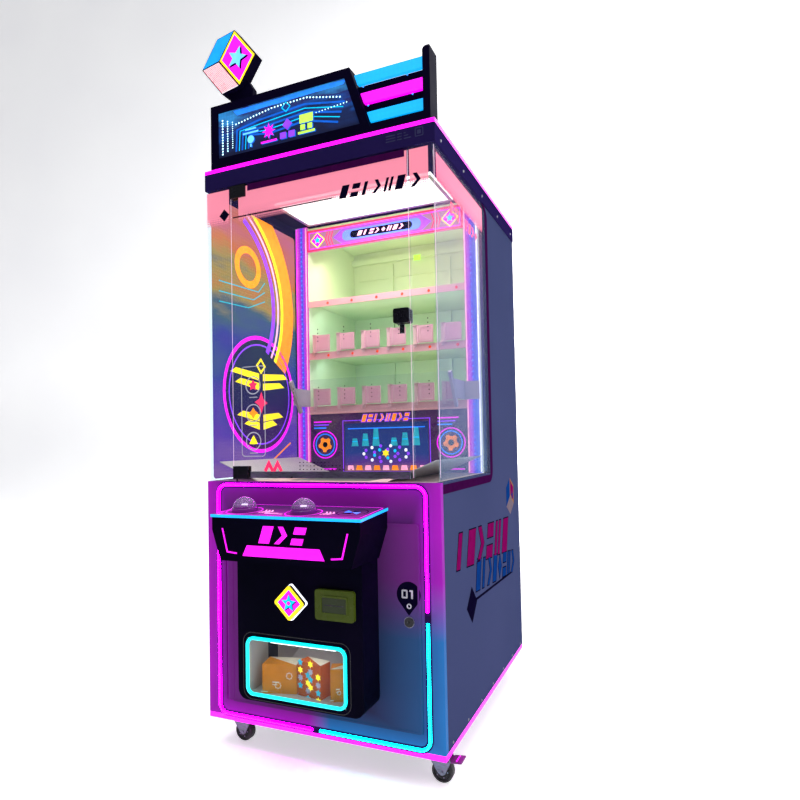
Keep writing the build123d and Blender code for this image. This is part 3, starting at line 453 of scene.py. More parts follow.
@dataclass(frozen=True)
class Print:
    """Printed ink or foil: press grain, slight mottling and its own glow, which is light from behind on backlit prints
    and painted light on unlit ones.
    """

    name: str
    colour: tuple[float, float, float, float]
    glow: float = 0.0
    roughness: float = 0.4
    shine: float = 0.1

    def material(self) -> bpy.types.Material:
        """Builds the ink with its mottling and press grain."""
        shader = Shader(self.name)
        deep = tuple(0.82 * part for part in self.colour[:3]) + (1.0,)
        tint = shader.ramp(shader.noise(46.0, 5.0), ((0.3, deep), (0.55, self.colour)))
        rough = shader.span(shader.noise(30.0), 0.3, 0.7, self.roughness - 0.06, self.roughness + 0.1)
        node = shader.surface(
            Base_Color=tint,
            Roughness=rough,
            Specular_IOR_Level=self.shine,
            Normal=shader.bump(shader.noise(1500.0, 1.0), 0.1, 0.0002),
        )
        if self.glow:
            shader.feed(node.inputs["Emission Color"], tint)
            node.inputs["Emission Strength"].default_value = self.glow
        return shader.close(node)


@dataclass(frozen=True)
class ClearSheet:
    """Clear sheet: see-through with a weak tint, sharp reflections, wiped smears and dust."""

    name: str
    tint: tuple[float, float, float, float]
    body: float = 0.03
    shine: float = 0.25
    glow: float = 0.0

    def material(self) -> bpy.types.Material:
        """Builds the sheet with its smears and edge reflections."""
        shader = Shader(self.name)
        smear = shader.span(shader.noise(7.0, 6.0, (1.0, 1.0, 0.35)), 0.42, 0.75, 0.0, self.body)
        edge = shader.add("ShaderNodeLayerWeight")
        edge.inputs["Blend"].default_value = 0.08
        rim = shader.math("MULTIPLY", edge.outputs["Fresnel"], self.shine)
        share = shader.math("ADD", shader.math("ADD", rim, smear), self.body)
        skin = shader.surface(
            Base_Color=self.tint,
            Roughness=shader.span(smear, 0.0, self.body, 0.03, 0.16),
            Emission_Color=self.tint,
            Emission_Strength=self.glow,
        )
        clear = shader.add("ShaderNodeBsdfTransparent")
        clear.inputs["Color"].default_value = tuple(0.5 + 0.5 * part for part in self.tint[:3]) + (1.0,)
        mix = shader.add("ShaderNodeMixShader")
        shader.feed(mix.inputs[0], share)
        shader.feed(mix.inputs[1], clear.outputs[0])
        shader.feed(mix.inputs[2], skin.outputs[0])
        return shader.close(mix)


@dataclass(frozen=True)
class FadeFilm:
    """Printed film on glass: a colour that fades down through shrinking halftone dots."""

    name: str
    colour: tuple[float, float, float, float]
    top: float
    bottom: float
    most: float = 0.85
    dots: float = 160.0
    glow: float = 0.25

    def material(self) -> bpy.types.Material:
        """Builds the film's fade and dots."""
        shader = Shader(self.name)
        fade = shader.span(shader.axis("Z"), self.bottom, self.top, 0.0, 1.0)
        dot = shader.span(shader.math("SUBTRACT", shader.math("MULTIPLY", fade, 1.05), shader.cells(self.dots)), -0.04, 0.1)
        share = shader.math("MULTIPLY", shader.math("ADD", shader.math("MULTIPLY", dot, 0.6), shader.math("MULTIPLY", fade, 0.4)), self.most)
        skin = shader.surface(
            Base_Color=tuple(0.3 * part for part in self.colour[:3]) + (1.0,),
            Roughness=0.3,
            Specular_IOR_Level=0.03,
            Emission_Color=self.colour,
            Emission_Strength=self.glow,
        )
        mix = shader.add("ShaderNodeMixShader")
        shader.feed(mix.inputs[0], share)
        shader.feed(mix.inputs[1], shader.add("ShaderNodeBsdfTransparent").outputs[0])
        shader.feed(mix.inputs[2], skin.outputs[0])
        return shader.close(mix)


@dataclass(frozen=True)
class BlendGlow:
    """A lit band that slides through several colours along one axis, with lamp spots."""

    name: str
    stops: tuple[tuple[float, tuple[float, float, float, float]], ...]
    axis: str
    start: float
    end: float
    strength: float
    ripple: float = 0.0
    clear: float = 0.0
    swirl: float = 9.0

    def material(self) -> bpy.types.Material:
        """Builds the sliding colours and the ripple across them."""
        shader = Shader(self.name)
        along = shader.span(shader.axis(self.axis), self.start, self.end)
        if self.ripple:
            wave = shader.math("MULTIPLY", shader.math("SUBTRACT", shader.noise(self.swirl, 4.0, (1.0, 1.0, 3.0)), 0.5), self.ripple)
            along = shader.math("ADD", along, wave)
        colour = shader.ramp(along, self.stops)
        power = shader.span(shader.cells(90.0), 0.0, 0.6, 1.15 * self.strength, 0.85 * self.strength)
        skin = shader.surface(
            Base_Color=(0.02, 0.02, 0.04, 1.0),
            Roughness=0.35,
            Specular_IOR_Level=0.05,
            Emission_Color=colour,
            Emission_Strength=power,
        )
        if not self.clear:
            return shader.close(skin)
        mix = shader.add("ShaderNodeMixShader")
        mix.inputs[0].default_value = 1 - self.clear
        shader.feed(mix.inputs[1], shader.add("ShaderNodeBsdfTransparent").outputs[0])
        shader.feed(mix.inputs[2], skin.outputs[0])
        return shader.close(mix)


@dataclass(frozen=True)
class Rubber:
    """Moulded rubber or polyurethane with dust in its grain."""

    name: str
    colour: tuple[float, float, float, float]
    dust: tuple[float, float, float, float]

    def material(self) -> bpy.types.Material:
        """Builds the rubber with dust and moulding grain."""
        shader = Shader(self.name)
        tint = shader.ramp(shader.noise(70.0, 6.0), ((0.45, self.colour), (0.8, self.dust)))
        return shader.close(
            shader.surface(Base_Color=tint, Roughness=0.62, Normal=shader.bump(shader.noise(500.0), 0.35, 0.0006))
        )


_made: dict[str, bpy.types.Material] = {}


def coat(finish: Finish) -> bpy.types.Material:
    """Gives a finish's material and builds it only once.

    Args:
        finish: The finish wanted.

    Returns:
        Its material.
    """
    if finish.name not in _made:
        _made[finish.name] = finish.material()
    return _made[finish.name]


# ---------------------------------------------------------------- shapes


class Side(Enum):
    """A side of the cabinet: where it faces, and the turn that points an upright item that way."""

    FRONT = ((0, -1, 0), (math.pi / 2, 0, 0))
    BACK = ((0, 1, 0), (-math.pi / 2, 0, 0))
    RIGHT = ((1, 0, 0), (0, math.pi / 2, 0))
    LEFT = ((-1, 0, 0), (0, -math.pi / 2, 0))
    TOP = ((0, 0, 1), (0, 0, 0))
    UNDER = ((0, 0, -1), (math.pi, 0, 0))

    @property
    def out(self) -> Vector:
        """The direction the side faces."""
        return Vector(self.value[0])

    @property
    def turn(self) -> Vector:
        """The turn that points an upright item out of the side."""
        return Vector(self.value[1])


@dataclass(frozen=True)
class Face:
    """A flat face that artwork is measured on."""

    origin: Vector
    across: Vector
    up: Vector
    out: Vector

    @classmethod
    def on(cls, low: Vector, high: Vector, side: Side) -> "Face":
        """Takes one side of a box.

        Args:
            low: The box's lowest corner.
            high: The box's highest corner.
            side: The side wanted.

        Returns:
            The face, measured from the middle of its foot, or from its front foot corner on a flank.
        """
        middle = (low.x + high.x) / 2
        x, y, z = Vector((1, 0, 0)), Vector((0, 1, 0)), Vector((0, 0, 1))
        if side is Side.FRONT:
            return cls(Vector((middle, low.y, low.z)), x, z, side.out)
        if side is Side.BACK:
            return cls(Vector((middle, high.y, low.z)), -x, z, side.out)
        if side is Side.RIGHT:
            return cls(Vector((high.x, low.y, low.z)), y, z, side.out)
        if side is Side.LEFT:
            return cls(Vector((low.x, low.y, low.z)), y, z, side.out)
        return cls(Vector((middle, low.y, high.z if side is Side.TOP else low.z)), x, y, side.out)

    @classmethod
    def of(cls, node: str, side: Side) -> "Face":
        """Takes one side of a CAD node's box."""
        return cls.on(*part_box(node), side)

    def at(self, u: float, v: float, w: float = 0.0) -> Vector:
        """Gives a point on the face.

        Args:
            u: Distance across.
            v: Distance up.
            w: Distance out of the face.

        Returns:
            The point.
        """
        return self.origin + self.across * u + self.up * v + self.out * w

    def moved(self, u: float, v: float, w: float = 0.0) -> "Face":
        """Gives the same face measured from another point."""
        return Face(self.at(u, v, w), self.across, self.up, self.out)


def rect(left: float, foot: float, right: float, head: float) -> Loop:
    """Gives a rectangle's corners."""
    return [(left, foot), (right, foot), (right, head), (left, head)]


def arc(centre: Point, radius: float, start: float, end: float, steps: int = 8) -> Loop:
    """Gives points along an arc.

    Args:
        centre: The arc's centre.
        radius: Its radius.
        start: The first angle in degrees.
        end: The last angle in degrees.
        steps: How many chords it has.

    Returns:
        The points, both ends among them.
    """
    angles = (math.radians(start + (end - start) * i / steps) for i in range(steps + 1))
    return [(centre[0] + radius * math.cos(a), centre[1] + radius * math.sin(a)) for a in angles]


def rounded(left: float, foot: float, right: float, head: float, radius: float, steps: int = 5) -> Loop:
    """Gives a rectangle with rounded corners."""
    corners = ((right, head, 0), (left, head, 90), (left, foot, 180), (right, foot, 270))
    loop: Loop = []
    for x, z, start in corners:
        centre = (x - math.copysign(radius, x - (left + right) / 2), z - math.copysign(radius, z - (foot + head) / 2))
        loop += arc(centre, radius, start, start + 90, steps)
    return loop


def disc(centre: Point, radius: float, steps: int = 24) -> Loop:
    """Gives a circle's points."""
    return arc(centre, radius, 0, 360, steps)[:-1]


def star(centre: Point, radius: float, points: int = 5, waist: float = 0.45, turn: float = 90.0) -> Loop:
    """Gives a star's points.

    Args:
        centre: The star's centre.
        radius: Radius of its tips.
        points: How many tips it has.
        waist: Radius between the tips, as a share.
        turn: The first tip's angle in degrees.

    Returns:
        The points.
    """
    loop: Loop = []
    for i in range(2 * points):
        reach = radius * (waist if i % 2 else 1.0)
        angle = math.radians(turn + 180 * i / points)
        loop.append((centre[0] + reach * math.cos(angle), centre[1] + reach * math.sin(angle)))
    return loop


def diamond(centre: Point, half: float) -> Loop:
    """Gives a square stood on its corner."""
    return star(centre, half, 2, 1.0)


def on_quad(loop: Loop, corners: Sequence[Point]) -> Loop:
    """Fits a loop drawn in the unit square to four corners.

    Args:
        loop: The loop, from 0 to 1 both ways.
        corners: Foot left, foot right, head right and head left.

    Returns:
        The fitted loop.
    """
    fitted: Loop = []
    for u, v in loop:
        weights = ((1 - u) * (1 - v), u * (1 - v), u * v, (1 - u) * v)
        fitted.append(tuple(sum(w * c[k] for w, c in zip(weights, corners)) for k in (0, 1)))
    return fitted


def inset(loop: Loop, distance: float) -> Loop:
    """Moves every side of a loop inwards and mitres the corners.

    Args:
        loop: The outline.
        distance: How far in; less than nothing moves it out.

    Returns:
        The new outline, point for point.
    """
    area = sum(a[0] * b[1] - b[0] * a[1] for a, b in zip(loop, loop[1:] + loop[:1]))
    sign = math.copysign(1.0, area)
    moved: Loop = []
    for before, here, after in zip(loop[-1:] + loop[:-1], loop, loop[1:] + loop[:1]):
        first = (Vector(here) - Vector(before)).normalized()
        second = (Vector(after) - Vector(here)).normalized()
        one, two = Vector((-first.y, first.x)) * sign, Vector((-second.y, second.x)) * sign
        bend = max(0.35, 1 + one.dot(two))
        moved.append(tuple(Vector(here) + (one + two) * (distance / bend)))
    return moved


def keep(mesh_source: bmesh.types.BMesh, name: str, finishes: Sequence[Finish], angle: float = 35.0, outwards: bool = True) -> bpy.types.Object:
    """Turns gathered faces into a named piece.

    Args:
        mesh_source: The faces; it is freed.
        name: The piece's name.
        finishes: Its finishes, in slot order.
        angle: Edges sharper than this stay crisp.
        outwards: Whether to turn all faces outwards.

    Returns:
        The piece, at the origin.
    """
    if outwards:
        bmesh.ops.recalc_face_normals(mesh_source, faces=mesh_source.faces[:])
    mesh = bpy.data.meshes.new(name)
    mesh_source.to_mesh(mesh)
    mesh_source.free()
    mesh.shade_smooth()
    mesh.set_sharp_from_angle(angle=math.radians(angle))
    for finish in finishes:
        mesh.materials.append(coat(finish))
    piece = bpy.data.objects.new(name, mesh)
    bpy.context.scene.collection.objects.link(piece)
    return piece


def soften(piece: bpy.types.Object, width: float, segments: int = 2) -> bpy.types.Object:
    """Rounds a piece's crisp edges."""
    bevel = piece.modifiers.new("edge_round", "BEVEL")
    bevel.width = width
    bevel.segments = segments
    bevel.limit_method = "ANGLE"
    bevel.angle_limit = math.radians(40)
    return piece


def fit(piece: bpy.types.Object, body: str, slot: str, *nodes: str) -> bpy.types.Object:
    """Puts a finished piece on its body and reports it.

    Args:
        piece: The piece.
        body: The CAD body it moves with.
        slot: Not used.
        *nodes: CAD nodes that it stands for.

    Returns:
        The piece.
    """
    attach(piece, body)
    if nodes:
        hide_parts(*nodes)
    LOG.info("%s: %d faces, rides on %s", piece.name, len(piece.data.polygons), body)
    return piece


def dress(finish: Finish, *nodes: str) -> None:
    """Gives CAD nodes a finish.

    Args:
        finish: The finish.
        *nodes: The nodes.
    """
    for node in nodes:
        for place in frame["nodes"][node].material_slots:
            place.material = coat(finish)
        LOG.info("%s: %s", node, finish.name)


class Plates:
    """Thin shapes laid on a face and gathered into one piece."""

    def __init__(self, name: str, face: Face, thick: float = 0.0004) -> None:
        """Starts an empty piece.

        Args:
            name: The piece's name.
            face: The face the shapes lie on.
            thick: Thickness of one shape unless it gives its own.
        """
        self.name, self.face, self.thick = name, face, thick
        self.gathered = bmesh.new()
        self.finishes: list[Finish] = []

    def _slot(self, finish: Finish) -> int:
        """Gives a finish's slot and adds it if it is new."""
        if finish not in self.finishes:
            self.finishes.append(finish)
        return self.finishes.index(finish)

    def add(self, loop: Loop, finish: Finish, lift: float = 0.0, thick: float = 0.0) -> None:
        """Lays one solid shape.

        Args:
            loop: Its outline on the face.
            finish: Its finish.
            lift: How far its underside is above the face.
            thick: Its thickness.
        """
        slot, high = self._slot(finish), lift + (thick or self.thick)
        low = [self.gathered.verts.new(self.face.at(u, v, lift)) for u, v in loop]
        top = [self.gathered.verts.new(self.face.at(u, v, high)) for u, v in loop]
        faces = [self.gathered.faces.new(top), self.gathered.faces.new(low[::-1])]
        for i, _ in enumerate(loop):
            j = (i + 1) % len(loop)
            faces.append(self.gathered.faces.new((low[i], low[j], top[j], top[i])))
        for made in faces:
            made.material_index = slot

    def band(self, loop: Loop, width: float, finish: Finish, lift: float = 0.0, thick: float = 0.0) -> None:
        """Lays a closed band inside an outline.

        Args:
            loop: The outline.
            width: The band's width.
            finish: Its finish.
            lift: How far its underside is above the face.
            thick: Its thickness.
        """
        self.between(loop, inset(loop, width), finish, lift, thick)

    def between(self, loop: Loop, inner: Loop, finish: Finish, lift: float = 0.0, thick: float = 0.0, open_ends: bool = False) -> None:
        """Lays a band between two outlines of as many points.

        Args:
            loop: The first outline.
            inner: The second outline.
            finish: The band's finish.
            lift: How far its underside is above the face.
            thick: Its thickness.
            open_ends: Whether the outlines are lines and not rings.
        """
        slot, high = self._slot(finish), lift + (thick or self.thick)
        rings = [
            [self.gathered.verts.new(self.face.at(u, v, w)) for u, v in ring]
            for ring, w in ((loop, lift), (loop, high), (inner, high), (inner, lift))
        ]
        last = len(loop) - 1 if open_ends else len(loop)
        for i in range(last):
            j = (i + 1) % len(loop)
            for a, b in zip(rings, rings[1:] + rings[:1]):
                self.gathered.faces.new((a[i], a[j], b[j], b[i])).material_index = slot
        if open_ends:
            for end in (0, -1):
                self.gathered.faces.new([ring[end] for ring in rings]).material_index = slot

    def line(self, path: Loop, width: float, finish: Finish, lift: float = 0.0, thick: float = 0.0) -> None:
        """Lays a line of even width through some points."""
        sides: list[Loop] = [[], []]
        for i, here in enumerate(path):
            before, after = path[max(0, i - 1)], path[min(len(path) - 1, i + 1)]
            one = Vector(here) - Vector(before) if i else Vector(after) - Vector(here)
            two = Vector(after) - Vector(here) if i < len(path) - 1 else one
            one, two = one.normalized(), two.normalized()
            normal = Vector((-one.y - two.y, one.x + two.x))
            normal *= width / 2 / max(0.3, 1 + one.dot(two))
            sides[0].append(tuple(Vector(here) + normal))
            sides[1].append(tuple(Vector(here) - normal))
        self.between(sides[0], sides[1], finish, lift, thick, open_ends=True)

    def marks(self, corners: Sequence[Point], kinds: str, finish: Finish, rim: Finish | None = None, lift: float = 0.0, grow: float = 0.004) -> None:
        """Lays a row of plain slanted marks: bars, blocks, chevrons, pairs and diamonds.

        Args:
            corners: Foot left, foot right, head right and head left of the row.
            kinds: One letter for each mark.
            finish: The marks' finish.
            rim: Finish of the rim around each mark, if it has one.
            lift: How far the marks are above the face.
            grow: Width of the rim.
        """
        shapes: dict[str, list[Loop]] = {
            "b": [[(0.08, 0), (0.42, 0), (0.64, 1), (0.3, 1)]],
            "c": [[(0.0, 0), (0.34, 0), (0.84, 0.5), (0.5, 1), (0.16, 1), (0.5, 0.5)]],
            "p": [[(0.0, 0), (0.78, 0), (0.86, 0.36), (0.08, 0.36)], [(0.14, 0.6), (0.92, 0.6), (1.0, 1), (0.22, 1)]],
            "w": [[(0.0, 0), (0.26, 0), (0.48, 1), (0.22, 1)], [(0.46, 0), (0.72, 0), (0.94, 1), (0.68, 1)]],
            "d": [[(0.45, 0.04), (0.86, 0.5), (0.5, 0.96), (0.1, 0.5)]],
            "h": [[(0.0, 0), (0.74, 0), (0.96, 1), (0.22, 1)]],
        }
        pitch = 1 / len(kinds)
        for i, kind in enumerate(kinds):
            for shape in shapes[kind]:
                loop = on_quad([((i + 0.9 * u) * pitch, v) for u, v in shape], corners)
                if rim:
                    self.add(inset(loop, -grow), rim, lift)
                self.add(loop, finish, lift + (self.thick if rim else 0.0))

    def done(self, body: str, slot: str, *nodes: str) -> bpy.types.Object:
        """Finishes the piece and puts it on its body."""
        return fit(keep(self.gathered, self.name, self.finishes), body, slot, *nodes)


def sweep(name: str, path: Sequence[Vector], out: Vector, section: Sequence[Point], finish: Finish, closed: bool = False) -> bpy.types.Object:
    """Runs a section along a flat path with mitred corners.

    Args:
        name: The piece's name.
        path: The points it runs through.
        out: The direction that the path's plane faces.
        section: The section's points: sideways, and out of the plane.
        finish: Its finish.
        closed: Whether the path is a ring.

    Returns:
        The piece.
    """
    made, rings, count = bmesh.new(), [], len(path)
    for i, here in enumerate(path):
        before = path[i - 1] if i or closed else here
        after = path[(i + 1) % count] if i < count - 1 or closed else here
        one, two = (here - before), (after - here)
        one = one.normalized() if one.length else two.normalized()
        two = two.normalized() if two.length else one
        side = (one + two).cross(out) / max(0.3, 1 + one.dot(two))
        rings.append([made.verts.new(here + side * s + out * w) for s, w in section])
    for i in range(count if closed else count - 1):
        a, b = rings[i], rings[(i + 1) % count]
        for k, _ in enumerate(section):
            n = (k + 1) % len(section)
            made.faces.new((a[k], a[n], b[n], b[k]))
    if not closed:
        made.faces.new(rings[0])
        made.faces.new(rings[-1])
    return keep(made, name, [finish], 50.0)


def half_round(width: float, height: float, steps: int = 8) -> Loop:
    """Gives the section of a half-round light tube."""
    return [(0.5 * width * math.cos(math.pi * i / steps), height * math.sin(math.pi * i / steps) ** 0.75) for i in range(steps + 1)]


def take_apart(node: str, sorter: Callable[[Vector, Vector], str]) -> dict[str, bmesh.types.BMesh]:
    """Copies a CAD node and sorts its separate solids into groups.

    Args:
        node: The CAD node.
        sorter: Gives a group's name from a solid's lowest and highest corner.

    Returns:
        The copied faces of each group.
    """
    whole = bmesh.new()
    whole.from_mesh(frame["nodes"][node].data)
    bmesh.ops.remove_doubles(whole, verts=whole.verts[:], dist=2e-6)
    whole.faces.index_update()
    left, groups = set(whole.faces), {}
    while left:
        island, edge = set(), [min(left, key=lambda face: face.index)]
        left.discard(edge[0])
        while edge:
            here = edge.pop()
            island.add(here)
            for side in here.edges:
                for other in side.link_faces:
                    if other in left:
                        left.discard(other)
                        edge.append(other)
        points = [v.co for f in island for v in f.verts]
        low = Vector([min(p[k] for p in points) for k in range(3)])
        high = Vector([max(p[k] for p in points) for k in range(3)])
        groups.setdefault(sorter(low, high), []).extend(sorted(island, key=lambda face: face.index))
    parts: dict[str, bmesh.types.BMesh] = {}
    for name, faces in groups.items():
        copy, twins = bmesh.new(), {}
        for face in faces:
            for vert in face.verts:
                if vert not in twins:
                    twins[vert] = copy.verts.new(vert.co)
            copy.faces.new([twins[v] for v in face.verts])
        parts[name] = copy
    whole.free()
    return parts


def part_off(part: bmesh.types.BMesh, low: Vector, high: Vector) -> bmesh.types.BMesh:
    """Moves the faces that lie wholly inside a box out of a copied part.

    Args:
        part: The copied part; it loses those faces.
        low: The box's lowest corner.
        high: Its highest corner.

    Returns:
        The moved faces.
    """
    inside = [f for f in part.faces if all(low[k] <= v.co[k] <= high[k] for v in f.verts for k in range(3))]
    moved, twins = bmesh.new(), {}
    for face in inside:
        for vert in face.verts:
            if vert not in twins:
                twins[vert] = moved.verts.new(vert.co)
        moved.faces.new([twins[v] for v in face.verts])
    bmesh.ops.delete(part, geom=inside, context="FACES")
    return moved


def span_of(part: bmesh.types.BMesh) -> tuple[Vector, Vector]:
    """Gives a copied part's lowest and highest corner."""
    points = [v.co for v in part.verts]
    return Vector([min(p[k] for p in points) for k in range(3)]), Vector([max(p[k] for p in points) for k in range(3)])


@dataclass(frozen=True)
class Row:
    """Evenly spaced round items, or slots if stretched, in a line or a grid."""

    start: Vector
    step: Vector
    count: int
    radius: float
    depth: float
    side: Side
    sides: int = 12
    rows: int = 1
    row_step: tuple[float, float, float] = (0.0, 0.0, 0.0)
    stretch: tuple[float, float, float] = (1.0, 1.0, 1.0)
    taper: float = 0.78
    jitter: float = 0.0


class RepeatTree:
    """The node tree that lays out rows of screws, lamps, dots and slots."""

    INPUTS = (
        ("Start", "NodeSocketVector"), ("Step", "NodeSocketVector"), ("Count", "NodeSocketInt"),
        ("Rows", "NodeSocketInt"), ("Row Step", "NodeSocketVector"), ("Radius", "NodeSocketFloat"),
        ("Top Radius", "NodeSocketFloat"), ("Depth", "NodeSocketFloat"), ("Sides", "NodeSocketInt"),
        ("Turn", "NodeSocketVector"), ("Stretch", "NodeSocketVector"), ("Jitter", "NodeSocketFloat"),
        ("Finish", "NodeSocketMaterial"),
    )

    def __init__(self) -> None:
        """Builds the tree once."""
        self.tree = bpy.data.node_groups.new("even_rows", "GeometryNodeTree")
        self.ids: dict[str, str] = {}
        for name, kind in self.INPUTS:
            self.ids[name] = self.tree.interface.new_socket(name, in_out="INPUT", socket_type=kind).identifier
        self.tree.interface.new_socket("Geometry", in_out="OUTPUT", socket_type="NodeSocketGeometry")
        add, link = self.tree.nodes.new, self.tree.links.new
        given, result = add("NodeGroupInput"), add("NodeGroupOutput")
        line, rows = add("GeometryNodeMeshLine"), add("GeometryNodeMeshLine")
        for node in (line, rows):
            node.mode = "OFFSET"
        link(given.outputs["Count"], line.inputs["Count"])
        link(given.outputs["Start"], line.inputs["Start Location"])
        link(given.outputs["Step"], line.inputs["Offset"])
        link(given.outputs["Rows"], rows.inputs["Count"])
        link(given.outputs["Row Step"], rows.inputs["Offset"])
        grid, flat = add("GeometryNodeInstanceOnPoints"), add("GeometryNodeRealizeInstances")
        link(rows.outputs[0], grid.inputs["Points"])
        link(line.outputs[0], grid.inputs["Instance"])
        link(grid.outputs[0], flat.inputs[0])
        item, place = add("GeometryNodeMeshCone"), add("GeometryNodeTransform")
        for wanted, socket in (("Sides", "Vertices"), ("Top Radius", "Radius Top"), ("Radius", "Radius Bottom"), ("Depth", "Depth")):
            link(given.outputs[wanted], item.inputs[socket])
        link(item.outputs["Mesh"], place.inputs["Geometry"])
        link(given.outputs["Stretch"], place.inputs["Scale"])
        put, chance, least = add("GeometryNodeInstanceOnPoints"), add("FunctionNodeRandomValue"), add("ShaderNodeMath")
        least.operation = "SUBTRACT"
        least.inputs[0].default_value = 1.0
        link(given.outputs["Jitter"], least.inputs[1])
        chance.data_type = "FLOAT"
        floats = [s for s in chance.inputs if s.type == "VALUE" and s.enabled]
        link(least.outputs[0], floats[0])
        floats[1].default_value = 1.0
        chance.inputs["Seed"].default_value = 7
        link(flat.outputs[0], put.inputs["Points"])
        link(place.outputs[0], put.inputs["Instance"])
        link(given.outputs["Turn"], put.inputs["Rotation"])
        link([s for s in chance.outputs if s.type == "VALUE" and s.enabled][0], put.inputs["Scale"])
        plain, paint = add("GeometryNodeRealizeInstances"), add("GeometryNodeSetMaterial")
        link(put.outputs[0], plain.inputs[0])
        link(plain.outputs[0], paint.inputs["Geometry"])
        link(given.outputs["Finish"], paint.inputs["Material"])
        link(paint.outputs[0], result.inputs[0])

    def lay(self, name: str, rows: Sequence[Row], finish: Finish) -> bpy.types.Object:
        """Lays rows as one plain mesh.

        Args:
            name: The piece's name.
            rows: The rows.
            finish: The items' finish.

        Returns:
            The piece.
        """
        gathered = bmesh.new()
        for row in rows:
            holder = bpy.data.objects.new(name + "_row", bpy.data.meshes.new(name + "_row"))
            bpy.context.scene.collection.objects.link(holder)
            layout = holder.modifiers.new("rows", "NODES")
            layout.node_group = self.tree
            values = {
                "Start": row.start, "Step": row.step, "Count": row.count, "Rows": row.rows,
                "Row Step": Vector(row.row_step), "Radius": row.radius, "Top Radius": row.radius * row.taper,
                "Depth": row.depth, "Sides": row.sides, "Turn": row.side.turn,
                "Stretch": Vector(row.stretch), "Jitter": row.jitter, "Finish": coat(finish),
            }
            for key, value in values.items():
                layout[self.ids[key]] = value
            graph = bpy.context.evaluated_depsgraph_get()
            plain = bpy.data.meshes.new_from_object(holder.evaluated_get(graph))
            gathered.from_mesh(plain)
            bpy.data.meshes.remove(plain)
            bpy.data.objects.remove(holder)
        return keep(gathered, name, [finish], 30.0, outwards=False)


REPEAT = RepeatTree()


# ---------------------------------------------------------------- finishes of this cabinet

NAVY_STEEL = CoatedSteel("slate_navy_coat", (0.05, 0.06, 0.142, 1), (0.043, 0.053, 0.128, 1), 0.5, 0.15, scuff_height=0.1, shine=0.0)
DOOR_STEEL = SpillSteel("slate_door_coat", (0.032, 0.027, 0.07, 1), (0.028, 0.024, 0.065, 1), 0.16, 0.4, 0.26, top=(0.74, 0.95))
HEAD_NAVY = CoatedSteel("deep_navy_coat", (0.014, 0.009, 0.06, 1), (0.017, 0.01, 0.07, 1), 0.42, 0.15, shine=0.0)
FRAME_STEEL = SpillSteel("front_frame_coat", (0.035, 0.02, 0.08, 1), (0.03, 0.018, 0.075, 1), 0.3, 0.41, 0.6)
BASE_STEEL = CoatedSteel("base_frame_coat", (0.03, 0.02, 0.07, 1), (0.025, 0.018, 0.06, 1), 0.45, 0.15, scuff_height=0.1, shine=0.02)
MINT_STEEL = CoatedSteel("mint_bay_coat", (0.78, 0.82, 0.56, 1), (0.64, 0.82, 0.62, 1), 0.45, 0.08, shine=0.3)
TAN_FLOOR = CoatedSteel("tan_floor_coat", (0.75, 0.52, 0.45, 1), (0.66, 0.46, 0.5, 1), 0.5, 0.1, shine=0.05)
CASE_STEEL = CoatedSteel("case_zinc_coat", (0.4, 0.42, 0.45, 1), (0.3, 0.32, 0.36, 1), 0.34, 0.1, 0.7)
BLACK_COAT = CoatedSteel("black_sign_coat", (0.002, 0.0015, 0.01, 1), (0.004, 0.002, 0.016, 1), 0.45, 0.12, shine=0.006)
BLACK_PLASTIC = MouldedPlastic("black_console_plastic", (0.0015, 0.0015, 0.006, 1), (0.003, 0.002, 0.01, 1), 0.4, 0.08, shine=0.008)
PALE_LINER = MouldedPlastic("pale_tunnel_liner", (0.55, 0.52, 0.48, 1), (0.45, 0.43, 0.42, 1), 0.5, 0.1, shine=0.1)
GLOSS_BLACK = MouldedPlastic("gloss_black_plastic", (0.002, 0.002, 0.004, 1), (0.005, 0.005, 0.01, 1), 0.25, 0.05, 0.0, 0.0, 0.3)
RAIL_PINK = MouldedPlastic("salmon_rail_coat", (0.86, 0.5, 0.48, 1), (0.78, 0.44, 0.46, 1), 0.4, 0.1)
GATE_PINK = MouldedPlastic("gate_plate_plastic", (0.86, 0.52, 0.55, 1), (0.8, 0.44, 0.52, 1), 0.38, 0.15)
BRACKET_PINK = MouldedPlastic("bracket_coat", (0.9, 0.66, 0.62, 1), (0.82, 0.56, 0.56, 1), 0.32, 0.1)
OLIVE_PLASTIC = MouldedPlastic("olive_bezel_plastic", (0.03, 0.045, 0.004, 1), (0.045, 0.065, 0.006, 1), 0.25, 0.05, 0.0, 0.3, 0.1)
OLIVE_GLASS = MouldedPlastic("olive_window_plastic", (0.008, 0.014, 0.003, 1), (0.014, 0.022, 0.004, 1), 0.15, 0.03, 0.0, 0.3, 0.2)
BLUE_BASE = MouldedPlastic("dome_base_plastic", (0.06, 0.01, 0.12, 1), (0.12, 0.01, 0.16, 1), 0.2, 0.1, 0.3, 0.5)
SURROUND = MouldedPlastic("dark_surround_print", (0.04, 0.02, 0.09, 1), (0.1, 0.03, 0.12, 1), 0.3, 0.08, 0.2, 0.25)
# The three carton finishes glow faintly: painted light, as the cartons are no lamps.
CARTON = Print("carton_orange", (0.6, 0.2, 0.008, 1), 0.16, 0.5)
CARTON_DEEP = Print("carton_rust", (0.5, 0.085, 0.008, 1), 0.16, 0.5)
CARTON_PALE = Print("carton_cream", (0.8, 0.72, 0.55, 1), 0.05, 0.55)
CHROME = PlatedMetal("bright_plate", (0.78, 0.78, 0.82, 1), (0.5, 0.5, 0.55, 1), 0.14)
STEEL = PlatedMetal("pressed_steel", (0.18, 0.18, 0.24, 1), (0.1, 0.1, 0.14, 1), 0.34)
SCREW = PlatedMetal("screw_zinc", (0.16, 0.16, 0.22, 1), (0.08, 0.08, 0.12, 1), 0.34)
TYRE = Rubber("black_tyre", (0.008, 0.008, 0.01, 1), (0.05, 0.045, 0.05, 1))
